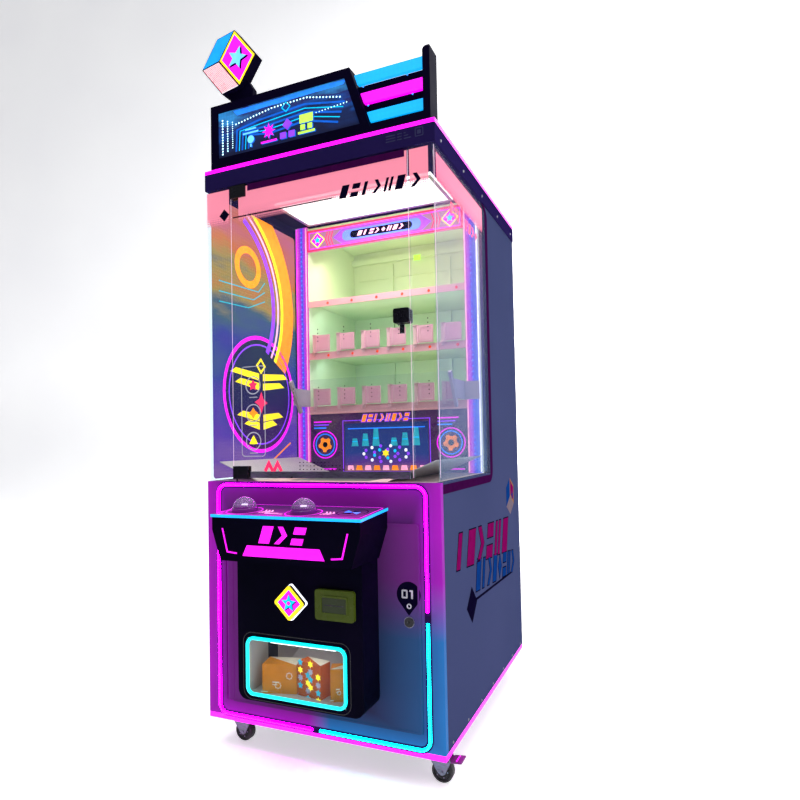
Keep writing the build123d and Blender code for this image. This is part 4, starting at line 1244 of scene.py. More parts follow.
# The pedal plastic glows with painted light; the pedal is no lamp.
PEDAL_PAINTED_GLOW = MouldedPlastic("pedal_plastic", (0.08, 0.008, 0.09, 1), (0.12, 0.01, 0.12, 1), 0.4, 0.2, 0.0, 0.3)
ARM_GREY = MouldedPlastic("arm_grey_coat", (0.42, 0.36, 0.42, 1), (0.5, 0.42, 0.48, 1), 0.4, 0.1)
GLASS = ClearSheet("window_glass", (0.85, 0.92, 0.95, 1), 0.006, 0.1)
CLEAR = ClearSheet("clear_acrylic", (0.9, 0.93, 0.98, 1), 0.012, 0.2)
DOME = ClearSheet("clear_dome", (0.62, 0.45, 0.75, 1), 0.2, 0.8, 0.03)
# Painted highlight: the glowing strips on the glass edges stand in for light that the edges catch.
GLASS_EDGE_HIGHLIGHT = Print("glass_edge_painted_highlight", (0.75, 0.55, 0.7, 1), 0.7, 0.2)
MAGENTA = LitTube("magenta_light", (1.0, 0.0, 1.0, 1), 26.0)
CYAN = LitTube("cyan_light", (0.0, 0.72, 0.85, 1), 15.0)
RING_CYAN = LitTube("ring_light", (0.0, 0.78, 0.82, 1), 1.6)
MAGENTA_STRIP = LitTube("magenta_strip_light", (1.0, 0.0, 0.9, 1), 2.2)
BAR_BLUE = LitTube("sky_bar_light", (0.0, 0.4, 0.95, 1), 1.1)
BAR_MAGENTA = LitTube("magenta_bar_light", (1.0, 0.0, 0.95, 1), 1.2)
WHITE_LIGHT = LitTube("white_light", (1.0, 0.97, 0.92, 1), 2.7)
WHITE_PLATE = LitTube("white_plate_light", (0.85, 0.88, 1.0, 1), 1.6)
SKY_EDGE = LitTube("sky_edge_light", (0.0, 0.35, 0.9, 1), 1.5)
LED = LitTube("lamp_dot", (0.45, 0.85, 1.0, 1), 3.0)
BLUE_LED = LitTube("blue_lamp_dot", (0.02, 0.25, 1.0, 1), 2.0)
# The magenta and blue flank inks carry a painted glow; they are printed on the steel flank and no lamp lights them.
MAGENTA_INK_PAINTED_GLOW = Print("magenta_ink", (0.16, 0.002, 0.07, 1), 0.15, shine=0.0)
BLUE_INK_PAINTED_GLOW = Print("blue_ink", (0.003, 0.03, 0.16, 1), 0.15, shine=0.0)
DARK_INK = Print("dark_ink", (0.003, 0.002, 0.015, 1), shine=0.0)
WHITE_INK = Print("white_ink", (0.55, 0.55, 0.62, 1))
SMALL_PRINT = Print("small_print_ink", (0.03, 0.03, 0.09, 1))
# The maroon trim glows with painted light; it is an unlit trim, not a lamp.
TRIM_PAINTED_GLOW = Print("maroon_trim_painted_glow", (0.03, 0.002, 0.035, 1), 0.3, 0.35, 0.0)
# Darker amber and grey inks for the flank's small cube, darker than the sign cube's yellow and white.
DARK_AMBER_INK = Print("dark_amber_ink", (0.3, 0.14, 0.04, 1), shine=0.0)
DARK_GREY_INK = Print("dark_grey_ink", (0.16, 0.12, 0.15, 1), shine=0.0)
CHANNEL = MouldedPlastic("channel_coat", (0.012, 0.004, 0.04, 1), (0.02, 0.006, 0.05, 1), 0.4, 0.05, shine=0.02)
LIT_MAGENTA = Print("lit_magenta_ink", (0.9, 0.01, 0.85, 1), 1.0)
LIT_CYAN = Print("lit_cyan_ink", (0.0, 0.5, 0.9, 1), 1.0)
LIT_YELLOW = Print("lit_yellow_ink", (0.95, 0.75, 0.02, 1), 0.9)
LIT_ORANGE = Print("lit_orange_ink", (1.0, 0.28, 0.02, 1), 0.7)
LIT_WHITE = Print("lit_white_ink", (0.9, 0.9, 1.0, 1), 1.0)
LIT_BLUE = Print("lit_blue_ink", (0.02, 0.22, 1.0, 1), 0.9)
LIT_VIOLET = Print("lit_violet_ink", (0.25, 0.05, 0.9, 1), 0.9)
LIT_RED = Print("lit_red_ink", (0.9, 0.03, 0.12, 1), 0.7)
LIT_ROSE = Print("lit_rose_ink", (1.0, 0.42, 0.62, 1), 0.8)
LIT_LIME = Print("lit_lime_ink", (0.5, 0.9, 0.1, 1), 0.8)
LIT_TEAL = Print("lit_teal_ink", (0.02, 0.35, 0.45, 1), 0.7)
RED_DOT = Print("red_dot", (0.9, 0.08, 0.03, 1), 0.5)
CUBE_BLUE = Print("cube_blue_ink", (0.01, 0.33, 1.0, 1), 0.75)
CUBE_SKY = Print("cube_sky_ink", (0.16, 0.62, 1.0, 1), 0.8)
CUBE_WHITE = Print("cube_white_ink", (0.95, 0.92, 0.95, 1), 0.4)
PILL_BLUE = Print("pill_blue_ink", (0.12, 0.2, 0.9, 1), 0.45)
DEEP_BLUE = Print("deep_blue_ink", (0.005, 0.09, 0.5, 1), 0.9)
RING_SHADE = BlendGlow("ring_shade", ((0.0, (0.25, 0.02, 0.3, 1)), (0.4, (0.03, 0.02, 0.2, 1)), (1.0, (0.03, 0.12, 0.12, 1))), "Z", 0.9, 1.4, 0.35, 0.5, 0.3, 4.0)


# ---------------------------------------------------------------- sub-assemblies


@dataclass(frozen=True)
class Studio:
    """The pale floor, the soft lights and the camera."""

    focal_share: float = 611.13 / 800
    centre_shift: tuple[float, float] = (1.41 / 800, 22.81 / 800)
    eye: tuple[float, float, float] = (0.958278, -1.99221, 0.958817)
    turn: tuple[float, float, float] = (-0.0266721584, 0.40508958, -0.0254012714)
    floor_reach: float = 14.0
    floor_front: float = -3.2

    def camera(self) -> bpy.types.Object:
        """Sets the camera in place."""
        turn = Vector(self.turn)
        spin = Matrix.Rotation(turn.length, 3, turn.normalized())
        base = Matrix(((1, 0, 0), (0, 0, -1), (0, 1, 0)))
        flip = Matrix(((1, 0, 0), (0, -1, 0), (0, 0, -1)))
        data = bpy.data.cameras.new("view")
        data.sensor_width, data.lens = 36.0, 36.0 * self.focal_share
        data.shift_x, data.shift_y = self.centre_shift
        data.clip_end = 60.0
        view = bpy.data.objects.new("view", data)
        view.matrix_world = Matrix.Translation(self.eye) @ (flip @ spin @ base).transposed().to_4x4()
        bpy.context.scene.collection.objects.link(view)
        bpy.context.scene.camera = view
        return view

    def lamp(self, name: str, place: Vector, target: Vector, size: float, power: float, colour: tuple[float, float, float] = (1, 1, 1)) -> None:
        """Hangs one soft area light.

        Args:
            name: The light's name.
            place: Where it hangs.
            target: What it points at.
            size: Its side.
            power: Its power in watts.
            colour: Its colour.
        """
        data = bpy.data.lights.new(name, "AREA")
        data.size, data.energy, data.color = size, power, colour
        light = bpy.data.objects.new(name, data)
        light.matrix_world = Matrix.Translation(place) @ (target - place).to_track_quat("-Z", "Y").to_matrix().to_4x4()
        bpy.context.scene.collection.objects.link(light)

    def build(self) -> None:
        """Lays the floor and hangs the lights."""
        self.camera()
        floor = bmesh.new()
        reach, bend, steps = self.floor_reach, 2.5, 8
        profile = [(self.floor_front, 0.0), (4.0, 0.0)]
        profile += [(4.0 + bend * math.sin(a), bend * (1 - math.cos(a))) for a in (math.pi / 2 * i / steps for i in range(1, steps + 1))]
        profile.append((4.0 + bend, 16.0))
        rows = [[floor.verts.new((x, y, z - 0.0005)) for x in (-1.6 * reach, reach)] for y, z in profile]
        for a, b in zip(rows, rows[1:]):
            floor.faces.new((a[0], a[1], b[1], b[0]))
        shader = Shader("pale_floor")
        tint = shader.ramp(shader.noise(0.7), ((0.3, (0.86, 0.86, 0.88, 1)), (0.7, (0.9, 0.9, 0.91, 1))))
        skin = shader.surface(Base_Color=tint, Roughness=0.7, Specular_IOR_Level=0.1, Emission_Color=tint, Emission_Strength=0.62)
        stage = keep(floor, "studio_floor", [], outwards=False)
        stage.data.materials.append(shader.close(skin))
        world = bpy.data.worlds.new("studio")
        bpy.context.scene.world = world
        world.use_nodes = True
        world.node_tree.nodes["Background"].inputs[0].default_value = (0.92, 0.94, 1.0, 1)
        world.node_tree.nodes["Background"].inputs[1].default_value = 0.1
        middle = Vector((0, 0, 1.1))
        self.lamp("key_softbox", Vector((3.8, -1.6, 3.4)), middle, 2.4, 85)
        self.lamp("fill_softbox", Vector((-3.6, -3.0, 2.6)), middle, 2.8, 4)
        self.lamp("back_softbox", Vector((1.5, 3.6, 4.2)), middle, 2.6, 60)
        self.lamp("floor_wash", Vector((0.0, -1.0, 7.0)), Vector((0, 0.5, 0)), 6.0, 420)
        self.lamp("backdrop_wash", Vector((0.0, 3.2, 2.2)), Vector((0, 7.0, 2.6)), 3.0, 260)
        bpy.context.scene.view_settings.view_transform = "Standard"


@dataclass(frozen=True)
class SteelShell:
    """The steel body: panels, frames, window trims, flank artwork and screws."""

    trim_gap: float = 0.006
    trim_rear: float = 0.036
    trim_foot: float = 0.026
    trim_head: float = 0.02
    trim_corner: float = 0.045
    screw_radius: float = 0.0042

    def build(self) -> None:
        """Dresses the steel and lays everything on it."""
        dress(NAVY_STEEL, "side_panel_left", "side_panel_right", "rear_panel", "rear_door")
        dress(FRAME_STEEL, "front_frame")
        dress(BASE_STEEL, "base_frame")
        dress(HEAD_NAVY, "head_band")
        for side, name in ((Side.RIGHT, "right"), (Side.LEFT, "left")):
            self.trim(side, name)
            self.artwork(side, name)
        self.head_marks()
        self.screws()

    def trim(self, side: Side, name: str) -> None:
        """Lays the dark trim, with its painted glow, along the foot, rear and head of a side window.

        Args:
            side: The flank.
            name: Its name.
        """
        panel = Face.of(f"side_panel_{name}", side)
        low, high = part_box("side_glass")
        start = panel.origin
        rear, foot, head = high.y - start.y, low.z - start.z, high.z - start.z
        art = Plates(f"window_trim_{name}", panel, 0.0012)
        corner, wide = self.trim_corner, self.trim_rear
        outer = [(0.002, foot - self.trim_gap - self.trim_foot)]
        outer += arc((rear + wide - corner, foot - self.trim_foot - self.trim_gap + corner), corner, 270, 360)
        outer += arc((rear + wide - corner, head - corner - 0.002), corner, 0, 90)
        outer.append((rear - 0.03, head - 0.002))
        inner = [(0.002, foot - self.trim_gap)]
        inner += arc((rear + self.trim_gap - 0.004, foot - self.trim_gap + 0.004), 0.004, 270, 360)
        inner += arc((rear + self.trim_gap - 0.004, head - self.trim_head - 0.004), 0.004, 0, 90)
        inner.append((rear + 0.001, head - self.trim_head))
        art.between(outer, inner, TRIM_PAINTED_GLOW, open_ends=True)
        art.done("cabinet", "black_plastic")

    def artwork(self, side: Side, name: str) -> None:
        """Prints two rows of slanted marks, a diamond, a rule and a small cube on a flank.

        Args:
            side: The flank.
            name: Its name.
        """
        art = Plates(f"flank_print_{name}", Face.of(f"side_panel_{name}", side), 0.0003)
        # The magenta and blue marks glow with painted light.
        art.marks(((0.096, 0.475), (0.764, 0.423), (0.778, 0.549), (0.104, 0.578)), "bhcpwh", MAGENTA_INK_PAINTED_GLOW, DARK_INK)
        art.marks(((0.299, 0.37), (0.863, 0.326), (0.872, 0.406), (0.307, 0.468)), "hbchdpwc", BLUE_INK_PAINTED_GLOW, DARK_INK)
        art.add(diamond((0.252, 0.339), 0.056), DARK_INK, 0.0004)
        art.line([(0.29, 0.345), (0.788, 0.331)], 0.008, DARK_INK)
        centre, size = (0.806, 0.63), 0.072
        tips = arc(centre, size, 30, 330, 5)
        for k, shade in enumerate((DARK_AMBER_INK, BLUE_INK_PAINTED_GLOW, DARK_GREY_INK)):
            art.add([centre, tips[2 * k - 1], tips[2 * k], tips[(2 * k + 1) % 6]], shade, 0.0)
        art.add(inset([centre, tips[5], tips[0], tips[1]], 0.007), MAGENTA_INK_PAINTED_GLOW, 0.0004)
        art.add(star((centre[0] + size * 0.46, centre[1]), size * 0.26), BLUE_INK_PAINTED_GLOW, 0.0008)
        art.done("cabinet", "sign_print")

    def head_marks(self) -> None:
        """Puts small print at the right end of the head band and screws on its flanks."""
        face = Face.of("head_band", Side.FRONT)
        low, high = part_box("head_band")
        half, tall = (high.x - low.x) / 2, high.z - low.z
        art = Plates("head_band_print", face, 0.0002)
        for i in range(3):
            for k, (start, end) in enumerate(((0.0, 0.03), (0.036, 0.05), (0.056, 0.078 - 0.008 * i))):
                foot = tall * 0.35 + 0.008 * i
                art.add(rect(half - 0.15 + start, foot, half - 0.15 + end, foot + 0.0035), SMALL_PRINT)
        art.band(rounded(half - 0.06, tall * 0.33, half - 0.034, tall * 0.33 + 0.026, 0.003, 3), 0.003, SMALL_PRINT)
        art.add(rounded(half - 0.053, tall * 0.33 + 0.007, half - 0.041, tall * 0.33 + 0.019, 0.002, 3), SMALL_PRINT)
        art.done("cabinet", "sign_print")
        rows = []
        for side in (Side.RIGHT, Side.LEFT):
            flank = Face.of("head_band", side)
            rows.append(Row(flank.at(0.05, 0.02), Vector((0, 0.219, 0)), 5, 0.0045, 0.0016, side))
        fit(REPEAT.lay("head_band_screws", rows, SCREW), "cabinet", "chrome_lock")

    def screws(self) -> None:
        """Drives the screws that hold the flanks and the rear panel."""
        rows = []
        for side, name in ((Side.RIGHT, "right"), (Side.LEFT, "left")):
            face = Face.of(f"side_panel_{name}", side)
            low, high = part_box(f"side_panel_{name}")
            deep, tall = high.y - low.y, high.z - low.z
            rows.append(Row(face.at(0.04, 0.012), Vector((0, (deep - 0.08) / 6, 0)), 7, self.screw_radius, 0.0016, side))
            rows.append(Row(face.at(deep - 0.012, 0.06), Vector((0, 0, (tall - 0.12) / 9)), 10, self.screw_radius, 0.0016, side))
        back, (low, high) = Face.of("rear_panel", Side.BACK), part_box("rear_panel")
        wide, tall = high.x - low.x, high.z - low.z
        for sign in (-1, 1):
            rows.append(Row(back.at(sign * (wide / 2 - 0.012), 0.05), Vector((0, 0, (tall - 0.1) / 10)), 11, self.screw_radius, 0.0016, Side.BACK))
        rows.append(Row(back.at(-wide / 2 + 0.05, tall - 0.014), Vector((-(wide - 0.1) / 6, 0, 0)), 7, self.screw_radius, 0.0016, Side.BACK))
        fit(REPEAT.lay("panel_screws", rows, SCREW), "cabinet", "chrome_lock")


@dataclass(frozen=True)
class LightStrips:
    """The magenta edge strips and the two-colour loop on the front."""

    tube: float = 0.0086
    proud: float = 0.0074
    channel: float = 0.019
    corner: float = 0.03
    split_foot: tuple[float, float] = (-0.017, 0.009)
    split_side: tuple[float, float] = (0.368, 0.399)
    base_height: float = 0.09

    def build(self) -> None:
        """Lights the strips and bends the loop."""
        ends = {"base": "base_edge_light", "roof": "roof_edge_light", "loop": "loop"}
        parts = take_apart("light_strips", lambda low, high: "roof" if low.z > 1.5 else "base" if high.z < 0.2 else "loop")
        low, high = span_of(parts["loop"])
        for key in ("base", "roof"):
            piece = keep(parts[key], ends[key], [MAGENTA_STRIP], 30.0)
            fit(piece, "cabinet", "magenta_light", *(["light_strips"] if key == "base" else []))
        parts["loop"].free()
        half = self.tube / 2
        left, right, foot, head, plane = low.x + half, high.x - half, low.z + half, high.z - half, high.y
        side = [z + self.base_height for z in self.split_side]

        def bend(x: float, z: float, start: float) -> Loop:
            """Rounds one corner of the loop."""
            centre = (x - math.copysign(self.corner, x), z + (self.corner if z < (foot + head) / 2 else -self.corner))
            return arc(centre, self.corner, start, start - 90, 8)

        magenta = [(self.split_foot[0], foot)] + bend(left, foot, 270) + bend(left, head, 180) + bend(right, head, 90) + [(right, side[1])]
        cyan = [(right, side[0])] + bend(right, foot, 360) + [(self.split_foot[1], foot)]
        for name, path, finish, slot in (("front_loop_magenta", magenta, MAGENTA, "magenta_light"), ("front_loop_cyan", cyan, CYAN, "cyan_light")):
            points = [Vector((x, plane, z)) for x, z in path]
            piece = sweep(name, points, Side.FRONT.out, half_round(self.tube, self.proud), finish)
            fit(piece, "cabinet", slot)
        bed = Plates("front_loop_channel", Face(Vector((0, plane, 0)), Vector((1, 0, 0)), Vector((0, 0, 1)), Side.FRONT.out), 0.0009)
        wide = (self.channel - self.tube) / 2
        bed.band(rounded(left - half - wide, foot - half - wide, right + half + wide, head + half + wide, self.corner + half + wide, 8), self.channel, CHANNEL)
        bed.done("cabinet", "navy_steel")
        rows = [Row(Vector((sign * right, plane, 0.24)), Vector((0, 0, 0.17)), 4, 0.0062, 0.0012, Side.FRONT, 6, stretch=(1.15, 0.5, 1)) for sign in (-1, 1)]
        fit(REPEAT.lay("front_loop_clips", rows, GLOSS_BLACK), "cabinet", "black_plastic")


@dataclass(frozen=True)
class Glazing:
    """Front and side glass with its films, rails, clamps and lock."""

    film_foot: float = 1.674
    side_film_foot: float = 1.69
    case_reach: float = 0.05

    def build(self) -> None:
        """Dresses the glass and lays its films."""
        dress(GLASS, "side_glass", "front_glass_strips")
        parts = take_apart("glass_door", self.sort)
        finishes = {"pane": GLASS, "lock": GLOSS_BLACK, "clamps": GLOSS_BLACK, "top_rail": TRIM_PAINTED_GLOW, "foot_rail": STEEL}
        names = {"pane": "door_pane", "lock": "door_lock_cases", "clamps": "pivot_clamps", "top_rail": "door_top_rail", "foot_rail": "door_foot_rail"}
        lock_low, lock_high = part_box("glass_lock")
        middle = (lock_low + lock_high) / 2
        reach = Vector((self.case_reach, 1.0, self.case_reach))
        barrel = Vector((middle.x, middle.y, lock_high.z - (lock_high.x - lock_low.x) / 2))
        parts["lock"] = part_off(parts["pane"], barrel - reach, barrel + reach)
        low, high = span_of(parts["pane"])
        case_low, case_high = span_of(parts["lock"])
        for key, part in parts.items():
            piece = keep(part, names[key], [finishes[key]])
            if key in ("lock", "clamps"):
                soften(piece, 0.01 if key == "lock" else 0.004, 4)
            fit(piece, "glass_door", {"pane": "window_glass"}.get(key, "black_plastic"), *(["glass_door"] if key == "pane" else []))
        dress(GLOSS_BLACK, "glass_lock")
        dress(GLOSS_BLACK, "door_lock")
        self.edges(low, high)
        self.films(low, high)
        self.notices(low, high)
        ring = Plates("lock_ring", Face(Vector((barrel.x, case_low.y, (case_low.z + case_high.z) / 2)), Vector((1, 0, 0)), Vector((0, 0, 1)), Side.FRONT.out), 0.0012)
        ring.between(disc((0, 0), 0.0115), disc((0, 0), 0.0085), CHROME)
        ring.done("glass_door", "chrome_lock")

    def sort(self, low: Vector, high: Vector) -> str:
        """Names a solid of the glass door from its corners."""
        if high.z - low.z > 0.5:
            return "pane"
        if high.x - low.x > 0.3:
            return "top_rail" if low.z > 1.5 else "foot_rail"
        return "clamps"

    def edges(self, low: Vector, high: Vector) -> None:
        """Lays glowing strips on the ground edges of the pane and its neighbours, as a painted highlight.

        Args:
            low: The pane's lowest corner.
            high: Its highest corner.
        """
        strip_low, strip_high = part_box("front_glass_strips")
        for name, body, xs in (("pane_edge_highlights", "glass_door", (low.x, high.x - 0.0012)), ("strip_edge_highlights", "cabinet", (strip_low.x, strip_high.x - 0.0012))):
            art = Plates(name, Face(Vector((0, low.y, 0)), Vector((1, 0, 0)), Vector((0, 0, 1)), Side.FRONT.out), 0.0003)
            for x in xs:
                art.add(rect(x, low.z + 0.002, x + 0.0012, high.z - 0.002), GLASS_EDGE_HIGHLIGHT, 0.0, 0.0003)
            art.done(body, "window_glass")

    def films(self, low: Vector, high: Vector) -> None:
        """Lays the fading rose film and its title row across the glass.

        Args:
            low: The pane's lowest corner.
            high: Its highest corner.
        """
        rose = FadeFilm("rose_fade_film", (1.0, 0.3, 0.42, 1), self.film_foot + 0.05, self.film_foot - 0.02, 0.91, 150.0, 0.8)
        face = Face(Vector((0, low.y, 0)), Vector((1, 0, 0)), Vector((0, 0, 1)), Side.FRONT.out)
        strip_low, strip_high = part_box("front_glass_strips")
        pane = Plates("door_rose_film", face, 0.0003)
        pane.add(rect(low.x + 0.03, self.film_foot, high.x - 0.003, high.z - 0.002), rose)
        pane.add([(low.x + 0.008, 1.6905), (0.07, 1.6905), (0.082, 1.6945), (low.x + 0.008, 1.6945)], DARK_INK, 0.0004)
        pane.marks(((0.097, 1.685), (0.315, 1.6795), (0.319, 1.7195), (0.103, 1.7235)), "hpbcwh", DARK_INK, None, 0.0004)
        pane.done("glass_door", "sign_print")
        strips = Plates("strip_rose_film", face, 0.0003)
        strips.add(rect(strip_low.x + 0.004, self.film_foot, -0.307, strip_high.z - 0.01), rose)
        strips.add(rect(0.3245, self.film_foot, 0.382, strip_high.z - 0.01), rose)
        strips.marks(((0.3265, 1.679), (0.368, 1.678), (0.371, 1.717), (0.329, 1.7185)), "c", DARK_INK, None, 0.0004)
        strips.add(diamond((-0.326, 1.706), 0.02), DARK_INK, 0.0004)
        strips.done("cabinet", "sign_print")
        glass_low, glass_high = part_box("side_glass")
        violet = FadeFilm("violet_fade_film", (1.0, 0.1, 0.26, 1), self.side_film_foot + 0.04, self.side_film_foot - 0.02, 0.97, 150.0, 0.8)
        for side, name in ((Side.RIGHT, "right"), (Side.LEFT, "left")):
            flank = Plates(f"side_rose_film_{name}", Face.on(glass_low, glass_high, side), 0.0003)
            deep, tall = glass_high.y - glass_low.y, glass_high.z - glass_low.z
            flank.add(rect(0.008, self.side_film_foot - glass_low.z, deep - 0.03, tall - 0.025), violet)
            flank.marks(((0.12, tall - 0.158), (0.42, tall - 0.165), (0.425, tall - 0.13), (0.125, tall - 0.122)), "hpbcwhcd", LIT_RED, None, 0.0004)
            flank.done("cabinet", "sign_print")

    def notices(self, low: Vector, high: Vector) -> None:
        """Prints the small notice, the picture strip and the foot chevrons on the pane.

        Args:
            low: The pane's lowest corner.
            high: Its highest corner; not used.
        """
        face = Face(Vector((0, low.y, low.z)), Vector((1, 0, 0)), Vector((0, 0, 1)), Side.FRONT.out)
        rows = [Row(face.at(-0.052, 0.026 + 0.0105 * i), Vector((0.0125, 0, 0)), 15 - 3 * i, 0.0038, 0.0003, Side.FRONT, 4, stretch=(1.0, 0.5, 1), taper=1.0, jitter=0.35) for i in range(3)]
        fit(REPEAT.lay("notice_print", rows, DARK_INK), "glass_door", "sign_print")
        art = Plates("pane_prints", face, 0.0003)
        for i in range(2):
            x = -0.165 + 0.032 * i
            art.line([(x - 0.014, 0.02), (x, 0.045), (x + 0.014, 0.02)], 0.011, LIT_RED)
        frame_loop = rounded(-0.267, 0.066, -0.176, 0.352, 0.012)
        art.band(frame_loop, 0.0025, WHITE_INK)
        for i, shade in enumerate((LIT_YELLOW, LIT_ORANGE, LIT_RED)):
            centre = (-0.2215, 0.115 + 0.088 * i)
            art.between(disc(centre, 0.029), disc(centre, 0.0255), WHITE_INK)
            art.add(star(centre, 0.018, 3 + i, 0.55), shade)
            art.line([(centre[0] - 0.014, centre[1] - 0.038), (centre[0] + 0.016, centre[1] - 0.038)], 0.003, WHITE_INK)
        art.done("glass_door", "sign_print")


@dataclass(frozen=True)
class FlankFilm:
    """The coloured see-through films of rings and sweeps inside the side windows."""

    ring_centre: Point = (0.27, 0.3)
    ring_radius: float = 0.215
    margin: float = 0.006
    thick: float = 0.008

    def build(self) -> None:
        """Lays a film on the inner face of both side windows."""
        low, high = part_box("side_glass")
        deep, tall = high.y - low.y, high.z - low.z
        left = BlendGlow(
            "left_wash",
            ((0.0, (0.3, 0.12, 0.5, 1)), (0.16, (0.12, 0.02, 0.55, 1)), (0.4, (0.01, 0.03, 0.45, 1)), (0.6, (0.04, 0.14, 0.22, 1)), (0.72, (0.6, 0.4, 0.05, 1)), (0.82, (1.0, 0.25, 0.02, 1)), (1.0, (0.9, 0.2, 0.3, 1))),
            "Z", low.z, high.z, 0.75, 0.75, 0.05, 2.6,
        )
        right = BlendGlow(
            "right_wash",
            ((0.0, (0.02, 0.3, 0.8, 1)), (0.35, (0.03, 0.08, 0.85, 1)), (0.7, (0.35, 0.08, 0.8, 1)), (1.0, (1.0, 0.15, 0.45, 1))),
            "Z", low.z, high.z, 0.6, 0.3, 0.84, 2.2,
        )
        for side, wash, x in ((Side.LEFT, left, low.x + self.thick), (Side.RIGHT, right, high.x - self.thick)):
            sheet = Plates(f"{side.name.lower()}_wash_film", Face(Vector((x, low.y, low.z)), Vector((0, 1, 0)), Vector((0, 0, 1)), -side.out), 0.0003)
            sheet.add(rounded(self.margin, self.margin, deep - self.margin, tall - self.margin, 0.012), wash)
            sheet.done("cabinet", "sign_print")
        self.rings(Face(Vector((low.x + self.thick + 0.0004, low.y, low.z)), Vector((0, 1, 0)), Vector((0, 0, 1)), Vector((1, 0, 0))), tall)

    def rings(self, face: Face, tall: float) -> None:
        """Prints the ring, its wings and the sweeps above it.

        Args:
            face: The film's face.
            tall: The film's height.
        """
        art = Plates("flank_film_rings", face, 0.0003)
        u, v = self.ring_centre
        r = self.ring_radius
        art.add(disc((u, v), r - 0.006, 40), RING_SHADE)
        art.between(disc((u, v), r, 44), disc((u, v), r - 0.013, 44), LIT_MAGENTA, 0.0003)
        art.between(disc((u, v), r - 0.03, 40), disc((u, v), r - 0.035, 40), LIT_VIOLET, 0.0003)
        for base, reach in ((0.05, 0.175), (0.015, 0.15), (-0.1, 0.14), (-0.13, 0.1)):
            for sign in (-1, 1):
                art.add([(u + sign * 0.012, v + base), (u + sign * reach, v + base + 0.02), (u + sign * (reach - 0.03), v + base + 0.036), (u + sign * 0.012, v + base + 0.026)], LIT_YELLOW, 0.0003)
        art.band(diamond((u, v + 0.105), 0.03), 0.008, LIT_YELLOW, 0.0003)
        art.add(star((u, v - 0.03), 0.04, 4, 0.45), LIT_RED, 0.0003)
        centre = (0.02, tall - 0.33)
        for k, (radius, shade, wide) in enumerate(((0.47, LIT_ORANGE, 0.07), (0.4, LIT_YELLOW, 0.016), (0.37, LIT_ROSE, 0.01), (0.345, LIT_VIOLET, 0.02))):
            art.between(arc(centre, radius, -30, 62, 24), arc(centre, radius - wide, -30, 62, 24), shade, 0.0003 + 0.00003 * k, open_ends=True)
        art.between(disc((0.2, tall - 0.2), 0.075, 32), disc((0.2, tall - 0.2), 0.05, 32), LIT_ORANGE, 0.0005)
        for k in range(3):
            z = 0.6 + 0.035 * k
            art.line([(0.04, z), (0.2 + 0.03 * k, z + 0.008), (0.3, z + 0.05)], 0.0035, LIT_TEAL, 0.0006)
        art.line([(0.12, 0.02), (0.3, 0.035), (0.46, 0.12)], 0.006, LIT_ORANGE, 0.0003)
        art.done("cabinet", "sign_print")




